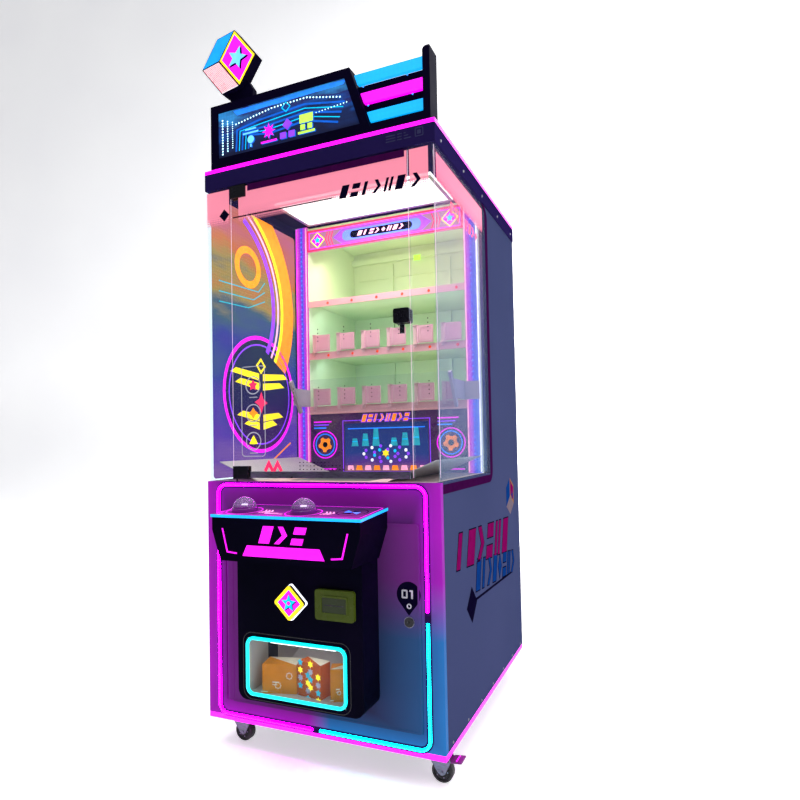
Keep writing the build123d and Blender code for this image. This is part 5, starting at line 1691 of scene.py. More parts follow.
@dataclass(frozen=True)
class PrizeBay:
    """The lit compartment: liner, shelves, gates, brackets, baffle, floor and chute."""

    dot_radius: float = 0.0055
    hole_radius: float = 0.0022
    strip_height: float = 0.005
    glow: tuple[tuple[float, tuple[float, float, float]], ...] = ((0.6, (0.78, 1.0, 0.95)), (0.9, (1.0, 0.94, 0.72)))

    def build(self) -> None:
        """Dresses the bay and adds its small parts."""
        dress(MINT_STEEL, "shelf_liner")
        dress(TAN_FLOOR, "showcase_floor")
        dress(PALE_LINER, "prize_chute")
        dress(CLEAR, "clear_baffle")
        for i in range(1, 7):
            dress(GATE_PINK, f"gate_lower_{i}", f"gate_upper_{i}")
        shelves = take_apart("display_shelves", lambda low, high: f"shelf_{int(low.z * 100)}")
        rails = []
        for i, key in enumerate(sorted(shelves)):
            low, high = span_of(shelves[key])
            rails.append((low, high))
            piece = keep(shelves[key], f"display_shelf_{i + 1}", [MINT_STEEL, RAIL_PINK])
            for face in piece.data.polygons:
                face.material_index = 1 if face.center.y < low.y + 0.0045 else 0
            fit(piece, "cabinet", "mint_steel", *(["display_shelves"] if i == 0 else []))
        brackets = take_apart("lane_brackets", lambda low, high: "arms" if high.z - low.z > 0.1 or low.y < 0.09 else "brackets")
        for k, (key, part) in enumerate(sorted(brackets.items())):
            piece = keep(part, f"lane_{key}", [BRACKET_PINK if key == "brackets" else ARM_GREY])
            fit(piece, "cabinet", "bracket_steel", *(["lane_brackets"] if k == 0 else []))
        self.dots(rails)
        self.gate_holes()
        self.lamps(rails)
        self.posts(rails)

    def dots(self, rails: list[tuple[Vector, Vector]]) -> None:
        """Puts the red dots on the two upper rails.

        Args:
            rails: Lowest and highest corner of each shelf.
        """
        rows = []
        for low, high in rails[1:]:
            z = high.z - 0.0135
            rows.append(Row(Vector((-0.238, low.y, z)), Vector((0.1066, 0, 0)), 6, self.dot_radius, 0.0012, Side.FRONT, 14, taper=0.85))
        fit(REPEAT.lay("rail_dots", rows, RED_DOT), "cabinet", "sign_print")

    def gate_holes(self) -> None:
        """Pierces each bracket strip and prints each gate's tab."""
        low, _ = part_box("lane_brackets")
        rows = []
        for row in ("lower", "upper"):
            for i in range(1, 7):
                start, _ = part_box(f"gate_{row}_{i}")
                rows.append(Row(Vector((start.x - 0.005, low.y, start.z + 0.012)), Vector((0, 0, 0.0145)), 4, self.hole_radius, 0.0006, Side.FRONT, 10))
        fit(REPEAT.lay("bracket_studs", rows, DARK_INK), "cabinet", "bracket_steel")
        for row in ("lower", "upper"):
            for i in range(1, 7):
                g_low, g_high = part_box(f"gate_{row}_{i}")
                face = Face(Vector((g_low.x, g_low.y, g_low.z)), Vector((1, 0, 0)), Vector((0, 0, 1)), Side.FRONT.out)
                wide, tall = g_high.x - g_low.x, g_high.z - g_low.z
                art = Plates(f"gate_tab_{row}_{i}", face, 0.0006)
                art.band(rounded(0.012, 0.006, wide - 0.004, tall - 0.006, 0.004, 3), 0.0022, BRACKET_PINK)
                art.done(f"gate_{row}_{i}", "gate_plate")

    def lamps(self, rails: list[tuple[Vector, Vector]]) -> None:
        """Lays the lamp strips under the shelves and below the bay's ceiling.

        Args:
            rails: Lowest and highest corner of each shelf.
        """
        for i, (low, high) in enumerate(rails):
            foot = high.z - 0.005 - self.strip_height
            face = Face(Vector((0, low.y + 0.03, foot - 0.0012)), Vector((1, 0, 0)), Vector((0, 1, 0)), Side.UNDER.out)
            art = Plates(f"shelf_lamp_{i + 1}", face, 0.003)
            art.add(rect(low.x + 0.02, 0.0, high.x - 0.02, 0.012), WHITE_LIGHT)
            art.done("cabinet", "white_light")
        liner_low, liner_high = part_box("shelf_liner")
        levels = [(high.z - 0.02, self.glow[0]) for _, high in rails[1:]] + [(liner_high.z - 0.12, self.glow[1])]
        for i, (height, (power, tint)) in enumerate(levels):
            data = bpy.data.lights.new(f"bay_lamp_{i + 1}", "AREA")
            data.shape, data.size, data.size_y = "RECTANGLE", 0.6, 0.1
            data.energy, data.color = power, tint
            lamp = bpy.data.objects.new(data.name, data)
            lamp.location = (0, rails[0][0].y + 0.08, height)
            lamp.rotation_euler = (math.radians(30), 0, 0)
            bpy.context.scene.collection.objects.link(lamp)
        Studio().lamp("cabin_lamp", Vector((0, -0.15, 1.8)), Vector((0, -0.05, 0.9)), 0.4, 5.0, (1.0, 0.82, 0.85))
        ceiling = Plates("bay_ceiling", Face(Vector((0, rails[0][0].y, liner_high.z - 0.002)), Vector((1, 0, 0)), Vector((0, 1, 0)), Side.UNDER.out), 0.0005)
        ceiling.add(rect(liner_low.x + 0.003, 0.012, liner_high.x - 0.003, liner_high.y - rails[0][0].y - 0.003), MINT_STEEL)
        ceiling.done("cabinet", "mint_steel")

    def posts(self, rails: list[tuple[Vector, Vector]]) -> None:
        """Stands the shelf uprights, the cross beams and the glowing cable tie at the rear wall; its glow is painted
        light.

        Args:
            rails: Lowest and highest corner of each shelf.
        """
        low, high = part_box("shelf_liner")
        wall = high.y - 0.0025
        face = Face(Vector((0, wall, 0)), Vector((1, 0, 0)), Vector((0, 0, 1)), Side.FRONT.out)
        art = Plates("bay_uprights", face, 0.012)
        for x in (-0.135, 0.135):
            art.add(rect(x - 0.009, rails[0][1].z, x + 0.009, rails[1][1].z - 0.006), MINT_STEEL)
            art.add(rect(x - 0.009, rails[1][1].z + 0.002, x + 0.009, rails[2][1].z - 0.006), MINT_STEEL)
            art.add(rect(x - 0.009, rails[2][1].z + 0.002, x + 0.009, high.z - 0.07), MINT_STEEL)
        art.add(rect(-0.3, high.z - 0.13, 0.3, high.z - 0.12), MINT_STEEL, 0.0, 0.006)
        # The lime cable tie glows with painted light; it is no lamp.
        art.line([(-0.02, high.z - 0.06), (0.012, high.z - 0.06)], 0.024, LIT_LIME, 0.021, 0.002)
        art.done("cabinet", "mint_steel")


@dataclass(frozen=True)
class DisplayUnit:
    """The screen below the bay: printed surround, gear, portholes and the picture on the screen."""

    def build(self) -> None:
        """Builds the surround and its screen."""
        parts = take_apart("display_unit", lambda low, high: "screen" if high.x - low.x < 0.4 else "surround")
        low, high = span_of(parts["surround"])
        screen_low, screen_high = span_of(parts["screen"])
        fit(keep(parts["surround"], "display_surround", [SURROUND]), "cabinet", "black_plastic", "display_unit")
        back = BlendGlow("screen_picture", ((0.0, (0.75, 0.3, 0.3, 1)), (0.16, (0.2, 0.06, 0.5, 1)), (0.4, (0.02, 0.08, 0.45, 1)), (1.0, (0.01, 0.05, 0.3, 1))), "Z", screen_low.z, screen_high.z, 0.55, 0.35)
        fit(keep(parts["screen"], "display_screen", [back]), "cabinet", "screen_black")
        self.picture(screen_low, screen_high)
        self.prints(low, high, screen_high)

    def picture(self, low: Vector, high: Vector) -> None:
        """Draws the picture on the screen: towers, two rings of discs and a band of tiles.

        Args:
            low: The screen's lowest corner.
            high: Its highest corner.
        """
        art = Plates("screen_shapes", Face.on(low, high, Side.FRONT), 0.0002)
        for k, x in enumerate((-0.13, -0.085, -0.04, 0.035, 0.08, 0.125)):
            tall = 0.03 + 0.018 * (k % 3)
            art.add([(x - 0.015, 0.1), (x + 0.015, 0.1), (x + 0.009, 0.1 + tall), (x - 0.009, 0.1 + tall)], LIT_TEAL)
            art.line([(x - 0.011, 0.108 + tall / 3), (x + 0.011, 0.108 + tall / 3)], 0.003, LIT_CYAN, 0.0003)
        for ring, (reach, shade) in enumerate(((0.092, LIT_WHITE), (0.05, LIT_CYAN))):
            for i in range(14 - 5 * ring):
                a = 2 * math.pi * i / (14 - 5 * ring)
                art.add(disc((reach * math.cos(a), 0.07 + 0.33 * reach * math.sin(a)), 0.0062, 10), shade if i % 2 else LIT_VIOLET, 0.0003)
        art.add(star((0, 0.072), 0.016, 6, 0.6), LIT_YELLOW, 0.0004)
        for i in range(9):
            x = -0.15 + 0.0375 * i
            art.add([(x - 0.014, 0.008), (x + 0.014, 0.008), (x + 0.011, 0.026), (x - 0.011, 0.026)], (LIT_ROSE, LIT_ORANGE)[i % 2])
        art.line([(-0.16, 0.168), (0.16, 0.168)], 0.004, LIT_BLUE)
        art.done("cabinet", "screen_black")

    def prints(self, low: Vector, high: Vector, screen_high: Vector) -> None:
        """Prints the surround: title bars, portholes, arcs and a gear.

        Args:
            low: The surround's lowest corner.
            high: Its highest corner.
            screen_high: The screen's highest corner.
        """
        art = Plates("surround_prints", Face.on(low, high, Side.FRONT), 0.0003)
        top, half = high.z - low.z, (high.x - low.x) / 2
        art.marks(((-0.1, top - 0.036), (0.1, top - 0.036), (0.104, top - 0.008), (-0.096, top - 0.008)), "hpbcwhcp", LIT_ORANGE, LIT_VIOLET, 0.0, 0.002)
        art.band(rect(-0.182, -0.002 + 0.004, 0.182, screen_high.z - low.z + 0.005), 0.003, LIT_VIOLET)
        for sign in (-1, 1):
            x = sign * (half - 0.066)
            for radius, shade in ((0.055, LIT_MAGENTA), (0.044, LIT_BLUE)):
                art.between(disc((x, 0.11), radius, 28), disc((x, 0.11), radius - 0.0045, 28), shade)
            gear = [p for i in range(10) for p in arc((x, 0.11), 0.03 if i % 2 else 0.023, 36 * i, 36 * i + 26, 2)]
            art.add(gear, LIT_ORANGE)
            art.add(disc((x, 0.11), 0.011, 16), DARK_INK, 0.0004)
            for i in range(3):
                art.line([(x - 0.05, 0.2 - 0.012 * i), (x + 0.03 - 0.012 * i, 0.2 - 0.012 * i)], 0.005, (LIT_MAGENTA, LIT_VIOLET, LIT_BLUE)[i])
            art.line([(x - 0.052, 0.03), (x - 0.02, 0.014), (x + 0.05, 0.014)], 0.005, LIT_MAGENTA)
        art.done("cabinet", "sign_print")


@dataclass(frozen=True)
class BannerAndColumns:
    """The header banner, the two light columns and the ceiling light."""

    def build(self) -> None:
        """Lights and prints them."""
        field = BlendGlow("banner_field", ((0.0, (1.0, 0.3, 0.55, 1)), (0.5, (1.0, 0.55, 0.75, 1)), (1.0, (1.0, 0.35, 0.6, 1))), "X", -0.33, 0.33, 0.75, 0.3)
        dress(field, "header_banner")
        self.banner()
        self.lights()

    def banner(self) -> None:
        """Prints the banner's frame, lozenge, marks and end stars."""
        low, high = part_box("header_banner")
        face = Face.on(low, high, Side.FRONT)
        half, tall = (high.x - low.x) / 2, high.z - low.z
        middle = tall / 2
        art = Plates("banner_print", face, 0.0005)
        art.band(rect(-half + 0.001, 0.001, half - 0.001, tall - 0.001), 0.007, LIT_RED)
        art.band(rect(-half + 0.01, 0.01, half - 0.01, tall - 0.01), 0.003, LIT_MAGENTA)
        art.add([(-0.205, middle), (-0.165, middle - 0.029), (0.165, middle - 0.029), (0.205, middle), (0.165, middle + 0.029), (-0.165, middle + 0.029)], LIT_VIOLET, 0.0)
        art.add(rounded(-0.165, middle - 0.021, 0.165, middle + 0.021, 0.02), PILL_BLUE, 0.0006)
        art.add(rounded(-0.13, middle - 0.014, 0.13, middle + 0.014, 0.013), DARK_INK, 0.0012)
        art.marks(((-0.1, middle - 0.009), (0.1, middle - 0.009), (0.104, middle + 0.009), (-0.096, middle + 0.009)), "hbpcdwhc", LIT_ROSE, None, 0.0018)
        for sign in (-1, 1):
            centre = (sign * (half - 0.05), middle)
            art.add(diamond(centre, 0.034), LIT_YELLOW, 0.0)
            art.add(diamond(centre, 0.028), LIT_MAGENTA, 0.0006)
            art.add(star(centre, 0.017), LIT_CYAN, 0.0012)
            for i in range(3):
                x = sign * (half - 0.115 + 0.012 * i)
                art.line([(x - 0.005 * sign, middle - 0.028), (x + 0.005 * sign, middle), (x - 0.005 * sign, middle + 0.028)], 0.004, LIT_RED)
        art.done("cabinet", "banner_pink")

    def lights(self) -> None:
        """Builds the columns' coloured bands and the ceiling light."""
        parts = take_apart("interior_lights", lambda low, high: "ceiling" if high.y - low.y > 0.1 else "left" if low.x < 0 else "right")
        stops = {
            "left": ((0.0, (0.7, 0.45, 0.75, 1)), (0.22, (0.95, 0.04, 0.8, 1)), (0.42, (0.35, 0.03, 0.95, 1)), (0.55, (0.02, 0.12, 1.0, 1)), (0.72, (0.6, 0.03, 0.9, 1)), (1.0, (1.0, 0.07, 0.6, 1))),
            "right": ((0.0, (1.0, 0.1, 0.6, 1)), (0.3, (0.65, 0.05, 1.0, 1)), (0.5, (0.1, 0.04, 1.0, 1)), (0.72, (0.01, 0.16, 1.0, 1)), (0.9, (0.3, 0.3, 1.0, 1)), (1.0, (0.8, 0.8, 1.0, 1))),
        }
        rows = []
        for key, part in parts.items():
            low, high = span_of(part)
            if key == "ceiling":
                fit(keep(part, "ceiling_light", [WHITE_LIGHT]), "cabinet", "white_light", "interior_lights")
                frame_piece = Plates("ceiling_light_frame", Face.on(low, high, Side.UNDER), 0.002)
                frame_piece.band(rect(-(high.x - low.x) / 2, 0.0, (high.x - low.x) / 2, high.y - low.y), 0.012, CASE_STEEL)
                frame_piece.done("cabinet", "case_steel")
                continue
            glow = BlendGlow(f"column_glow_{key}", stops[key], "X", low.x, high.x, 1.0, 0.2)
            fit(keep(part, f"light_column_{key}", [glow]), "cabinet", "cyan_light")
            middle = (low.x + high.x) / 2
            rows.append(Row(Vector((middle, low.y, low.z + 0.03)), Vector((0, 0, 0.0195)), 49, 0.0021, 0.0012, Side.FRONT, 8))
            band = Plates(f"column_bands_{key}", Face.on(low, high, Side.FRONT), 0.0005)
            tall, half = high.z - low.z, (high.x - low.x) / 2
            band.add(rect(-half + 0.001, 0.004, -half + 0.006, tall - 0.004), LIT_ROSE if key == "right" else LIT_MAGENTA)
            band.add(rect(half - 0.006, 0.004, half - 0.001, tall - 0.004), LIT_WHITE if key == "right" else LIT_ROSE)
            band.done("cabinet", "magenta_light")
        fit(REPEAT.lay("column_lamps", rows, BLUE_LED), "cabinet", "white_light")


@dataclass(frozen=True)
class ServiceDoor:
    """The lower door with its console, prize outlet, note unit, diamond sign and lock.

    Attributes:
        pin_centre: Where the number plate's disc is, across and above the base.
        ring_tube: Width of the outlet's light tube.
        hinge_gap: How far the folded edge stays from the hinge side, so that it clears the frame.
    """

    pin_centre: Point = (0.3, 0.533)
    ring_tube: float = 0.0095
    hinge_gap: float = 0.0235

    def build(self) -> None:
        """Dresses the door and adds what stands on it."""
        dress(DOOR_STEEL, "service_door")
        self.console()
        self.outlet_ring()
        dress(CLEAR, "prize_flap")
        dress(OLIVE_PLASTIC, "bill_unit")
        self.edge_seam()
        self.pin_mark()
        self.note_slot()
        self.diamond_sign()
        self.cartons()
        self.console_prints()

    def console(self) -> None:
        """Dresses the console black with a pale prize tunnel."""
        low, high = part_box("outlet_light_ring")
        piece = keep(take_apart("door_console", lambda a, b: "all")["all"], "console_shell", [BLACK_PLASTIC, PALE_LINER])
        for face in piece.data.polygons:
            middle = face.center
            inside = low.x < middle.x < high.x and low.z < middle.z < high.z and abs(face.normal.y) < 0.5
            face.material_index = 1 if inside else 0
        fit(piece, "service_door", "black_plastic", "door_console")

    def outlet_ring(self) -> None:
        """Bends the half-round light ring of the prize outlet."""
        low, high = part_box("outlet_light_ring")
        half, reach = self.ring_tube / 2, high.y - low.y
        path = rounded(low.x + half, low.z + half, high.x - half, high.z - half, 0.021, 8)
        points = [Vector((x, high.y, z)) for x, z in path]
        piece = sweep("outlet_light_tube", points, Side.FRONT.out, half_round(self.ring_tube, reach * 0.96), RING_CYAN, closed=True)
        fit(piece, "service_door", "cyan_light", "outlet_light_ring")

    def edge_seam(self) -> None:
        """Rings the lock and lays a thin folded edge round the door."""
        low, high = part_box("service_door")
        face = Face.on(low, high, Side.FRONT)
        half, tall = (high.x - low.x) / 2, high.z - low.z
        art = Plates("door_folded_edge", face, 0.0012)
        art.band(rounded(-half + self.hinge_gap, 0.003, half - 0.003, tall - 0.003, 0.006, 4), 0.005, DOOR_STEEL)
        lock_low, lock_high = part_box("door_lock")
        u = (lock_low.x + lock_high.x) / 2 - face.origin.x
        v = lock_high.z - (lock_high.x - lock_low.x) / 2 - low.z
        art.between(disc((u, v), 0.0155), disc((u, v), 0.0105), STEEL, 0.0, 0.0025)
        art.done("service_door", "navy_steel")

    def pin_mark(self) -> None:
        """Prints the drop-shaped lane mark with its number on the door."""
        low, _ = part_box("service_door")
        art = Plates("lane_number", Face(Vector((0, low.y, 0)), Vector((1, 0, 0)), Vector((0, 0, 1)), Side.FRONT.out), 0.0004)
        u, v = self.pin_centre
        art.add(arc((u, v), 0.036, -35, 215, 22) + [(u, v - 0.058)], DARK_INK)
        art.band(rounded(u - 0.021, v - 0.011, u - 0.003, v + 0.013, 0.003, 2), 0.0045, WHITE_INK, 0.0004)
        art.add(rect(u + 0.0075, v - 0.011, u + 0.013, v + 0.013), WHITE_INK, 0.0004)
        art.add(rect(u + 0.003, v + 0.0085, u + 0.0075, v + 0.013), WHITE_INK, 0.0004)
        art.between(disc((u + 0.001, v - 0.032), 0.0075, 16), disc((u + 0.001, v - 0.032), 0.004, 16), WHITE_INK, 0.0004)
        art.done("service_door", "sign_print")

    def note_slot(self) -> None:
        """Fits the note unit's bezel, window and slot."""
        low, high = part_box("bill_unit")
        face = Face(Vector(((low.x + high.x) / 2, low.y, (low.z + high.z) / 2)), Vector((1, 0, 0)), Vector((0, 0, 1)), Side.FRONT.out)
        middle = 0.515
        face = face.moved(0, middle - face.origin.z)
        art = Plates("note_bezel", face, 0.0012)
        art.band(rounded(-0.043, -0.026, 0.043, 0.026, 0.006), 0.0055, OLIVE_PLASTIC, 0.0, 0.002)
        art.add(rounded(-0.0375, -0.0205, 0.0375, 0.0205, 0.003), OLIVE_GLASS, 0.0, 0.0007)
        art.add(rect(-0.03, -0.0015, 0.03, 0.0015), GLOSS_BLACK, 0.0007, 0.0003)
        art.done("service_door", "olive_plastic")

    def diamond_sign(self) -> None:
        """Builds the diamond sign with its glowing back plate and star."""
        parts = take_apart("diamond_sign", lambda low, high: "front" if high.y - low.y > 0.0075 else "plate")
        low, high = span_of(parts["front"])
        front = keep(parts["front"], "diamond_front", [LIT_YELLOW, GLOSS_BLACK])
        for side in front.data.polygons:
            side.material_index = 0 if side.normal.y < -0.5 else 1
        fit(front, "service_door", "sign_print", "diamond_sign")
        fit(keep(parts["plate"], "diamond_plate", [WHITE_PLATE]), "service_door", "white_light")
        face = Face(Vector(((low.x + high.x) / 2, low.y, (low.z + high.z) / 2)), Vector((1, 0, 0)), Vector((0, 0, 1)), Side.FRONT.out)
        half = (high.z - low.z) / 2
        art = Plates("diamond_print", face, 0.0006)
        art.add(diamond((0, 0), half - 0.011), LIT_MAGENTA)
        art.add(star((0.002, -0.002), half * 0.52), DARK_INK, 0.0006)
        art.add(star((0, 0), half * 0.5), LIT_CYAN, 0.0012)
        art.add(disc((0, 0), half * 0.12, 14), LIT_MAGENTA, 0.0018)
        art.done("service_door", "sign_print")

    def cartons(self) -> None:
        """Prints the cartons that wait in the outlet."""
        parts = take_apart("prize_boxes", lambda low, high: f"{low.x:.2f}")
        for i, key in enumerate(sorted(parts, key=float)):
            piece = keep(parts[key], f"prize_carton_{i + 1}", [CARTON_DEEP if i == 1 else CARTON, CARTON_PALE])
            flat = sorted(piece.data.polygons, key=lambda f: f.center.z)
            flat[-1].material_index = 1
            soften(piece, 0.001)
            fit(piece, "service_door", "carton", *(["prize_boxes"] if i == 0 else []))
            faces = [f for f in piece.data.polygons if abs(f.normal.z) < 0.3]
            art_faces = sorted(faces, key=lambda f: f.normal.y)[:2]
            for k, flat_face in enumerate(art_faces):
                out = flat_face.normal.copy()
                across = Vector((0, 0, 1)).cross(out).normalized()
                spots = [(v - flat_face.center).dot(across) for v in (piece.data.vertices[n].co for n in flat_face.vertices)]
                wide = (max(spots) - min(spots)) / 2
                zs = [piece.data.vertices[n].co.z - flat_face.center.z for n in flat_face.vertices]
                tall = (max(zs) - min(zs)) / 2
                art = Plates(f"carton_print_{i + 1}_{k + 1}", Face(flat_face.center.copy(), across, Vector((0, 0, 1)), out), 0.0003)
                if i == 1:
                    # The teal and yellow stars glow with painted light; a carton is no lamp.
                    for n in range(8):
                        spot = (wide * (-0.45 + 0.9 * (n % 2)), tall * (-0.72 + 0.45 * (n // 2)))
                        art.add(star(spot, wide * 0.26, 5 + n % 3, 0.55), (LIT_TEAL, LIT_YELLOW, WHITE_INK)[n % 3])
                else:
                    art.band(star((wide * 0.25, -tall * 0.1), min(wide, tall) * 0.26, 8, 0.75), 0.0016, CARTON_PALE)
                    art.line([(-wide * 0.75, -tall * 0.55), (-wide * 0.35, -tall * 0.55)], tall * 0.07, CARTON_PALE)
                    art.line([(-wide * 0.75, -tall * 0.72), (-wide * 0.45, -tall * 0.72)], tall * 0.05, CARTON_PALE)
                art.done("service_door", "carton")

    def console_prints(self) -> None:
        """Lays the faint panel line on the console and the lamps inside the outlet."""
        ring_low, ring_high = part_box("outlet_light_ring")
        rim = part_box("door_console")[0].y
        face = Face(Vector((0, rim, 0)), Vector((1, 0, 0)), Vector((0, 0, 1)), Side.FRONT.out)
        art = Plates("console_panel_line", face, 0.0006)
        art.band(rounded(ring_low.x - 0.012, ring_low.z - 0.012, ring_high.x + 0.012, ring_high.z + 0.012, 0.03), 0.0022, GLOSS_BLACK)
        art.done("service_door", "black_plastic")
        lamp = Plates("outlet_lamp", Face(Vector((0, rim + 0.05, ring_high.z - 0.024)), Vector((1, 0, 0)), Vector((0, 1, 0)), Side.UNDER.out), 0.003)
        lamp.add(rounded(-0.12, -0.012, 0.1, 0.012, 0.004, 3), WHITE_LIGHT)
        lamp.done("service_door", "white_light")


@dataclass(frozen=True)
class ControlDesk:
    """The control box: lit edge, sloping printed plate, dome buttons and marked front."""

    edge_height: float = 0.009
    slope: float = 4.0

    def build(self) -> None:
        """Dresses the box and lays its prints."""
        dress(BLACK_PLASTIC, "control_box")
        self.plate()
        self.front_marks()
        self.buttons()

    def plate(self) -> None:
        """Builds the printed plate, its bezels and its lit edge."""
        parts = take_apart("control_plate", lambda low, high: "plate" if high.x - low.x > 0.3 else f"bezel_{'left' if low.x < -0.1 else 'right'}")
        low, high = span_of(parts["plate"])
        film = BlendGlow("desk_film", ((0.0, (0.75, 0.03, 0.6, 1)), (0.35, (0.3, 0.02, 0.32, 1)), (1.0, (0.05, 0.015, 0.12, 1))), "Y", low.y, high.y, 0.22, 0.25)
        piece = keep(parts["plate"], "desk_plate", [film, SKY_EDGE])
        for face in piece.data.polygons:
            face.material_index = 0 if face.normal.z > 0.6 else 1
        fit(piece, "service_door", "sign_print", "control_plate")
        for key, part in parts.items():
            if key != "plate":
                fit(soften(keep(part, f"dome_{key}", [BLUE_BASE]), 0.0012), "service_door", "chrome_lock")
        tops = [v.co.copy() for v in piece.data.vertices]
        front_top = max((p for p in tops if p.y < low.y + 0.002), key=lambda p: p.z)
        rear_top = max((p for p in tops if p.y > high.y - 0.002), key=lambda p: p.z)
        up = (rear_top - front_top)
        up.x = 0.0
        length = up.length
        up.normalize()
        out = Vector((1, 0, 0)).cross(up)
        face = Face(Vector((0, front_top.y, front_top.z)), Vector((1, 0, 0)), up, out)
        half = (high.x - low.x) / 2
        art = Plates("desk_print", face, 0.0003)
        art.band(rounded(-half + 0.009, 0.009, half - 0.009, length - 0.006, 0.01), 0.0018, LIT_MAGENTA)
        buttons = [((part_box(n)[0].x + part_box(n)[1].x) / 2) for n in ("button_left", "button_right")]
        depth = (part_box("button_left")[0].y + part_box("button_left")[1].y) / 2 - front_top.y
        for x in buttons:
            art.between(disc((x, depth), 0.054, 32), disc((x, depth), 0.0515, 32), LIT_MAGENTA)
            for i in range(3):
                u = x + 0.064 + 0.011 * i
                art.line([(u, depth - 0.02), (u + 0.011, depth), (u, depth + 0.02)], 0.004, LIT_ROSE)
        centre = (0.172, 0.09)
        for k in range(4):
            a = math.radians(45 + 90 * k)
            tip = (centre[0] + 0.034 * math.cos(a), centre[1] + 0.034 * math.sin(a))
            wing = (centre[0] + 0.024 * math.cos(a + 1.0), centre[1] + 0.024 * math.sin(a + 1.0))
            art.add([centre, tip, wing], LIT_BLUE if k % 2 else DARK_INK)
        art.between(disc(centre, 0.045), disc(centre, 0.0425), DARK_INK)
        art.line([(-0.08, 0.035), (-0.02, 0.035)], 0.004, LIT_ROSE)
        art.line([(-0.08, 0.044), (-0.04, 0.044)], 0.003, LIT_ROSE)
        art.done("service_door", "sign_print")

    def front_marks(self) -> None:
        """Lays the lit marks on the sloping front: row, trapezoid and side brackets."""
        low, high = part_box("control_box")
        face = Face(Vector((0, low.y, 0)), Vector((1, 0, 0)), Vector((0, 0, 1)), Side.FRONT.out)
        face = face.moved(0, low.z)
        art = Plates("desk_front_marks", face, 0.0012)
        art.marks(((-0.078, 0.055), (0.078, 0.055), (0.084, 0.103), (-0.072, 0.103)), "hcp", LIT_MAGENTA)
        art.add([(-0.132, 0.017), (0.132, 0.017), (0.117, 0.047), (-0.117, 0.047)], LIT_MAGENTA)
        for sign in (-1, 1):
            art.line([(sign * 0.202, 0.092), (sign * 0.185, 0.026), (sign * 0.152, 0.023)], 0.0042, LIT_MAGENTA)
        art.done("service_door", "magenta_light")

    def buttons(self) -> None:
        """Builds the clear domes with their bases, prisms and lamps."""
        for name in ("button_left", "button_right"):
            low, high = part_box(name)
            part = take_apart(name, lambda a, b: "all")["all"]
            piece = keep(part, f"{name}_dome", [DOME, BLUE_BASE])
            rim = high.z - 0.03
            for face in piece.data.polygons:
                face.material_index = 0 if face.center.z > rim else 1
            fit(piece, name, "dome_clear", name)
            centre = Vector(((low.x + high.x) / 2, (low.y + high.y) / 2, 0))
            face = Face(centre + Vector((0, 0, rim + 0.002)), Vector((1, 0, 0)), Vector((0, 1, 0)), Vector((0, 0, 1)))
            art = Plates(f"{name}_star", face, 0.004)
            art.add(star((0, 0), 0.024, 6, 0.6), BLUE_BASE)
            art.add(disc((0, 0), 0.009, 18), WHITE_PLATE, 0.004, 0.003)
            art.done(name, "dome_clear")


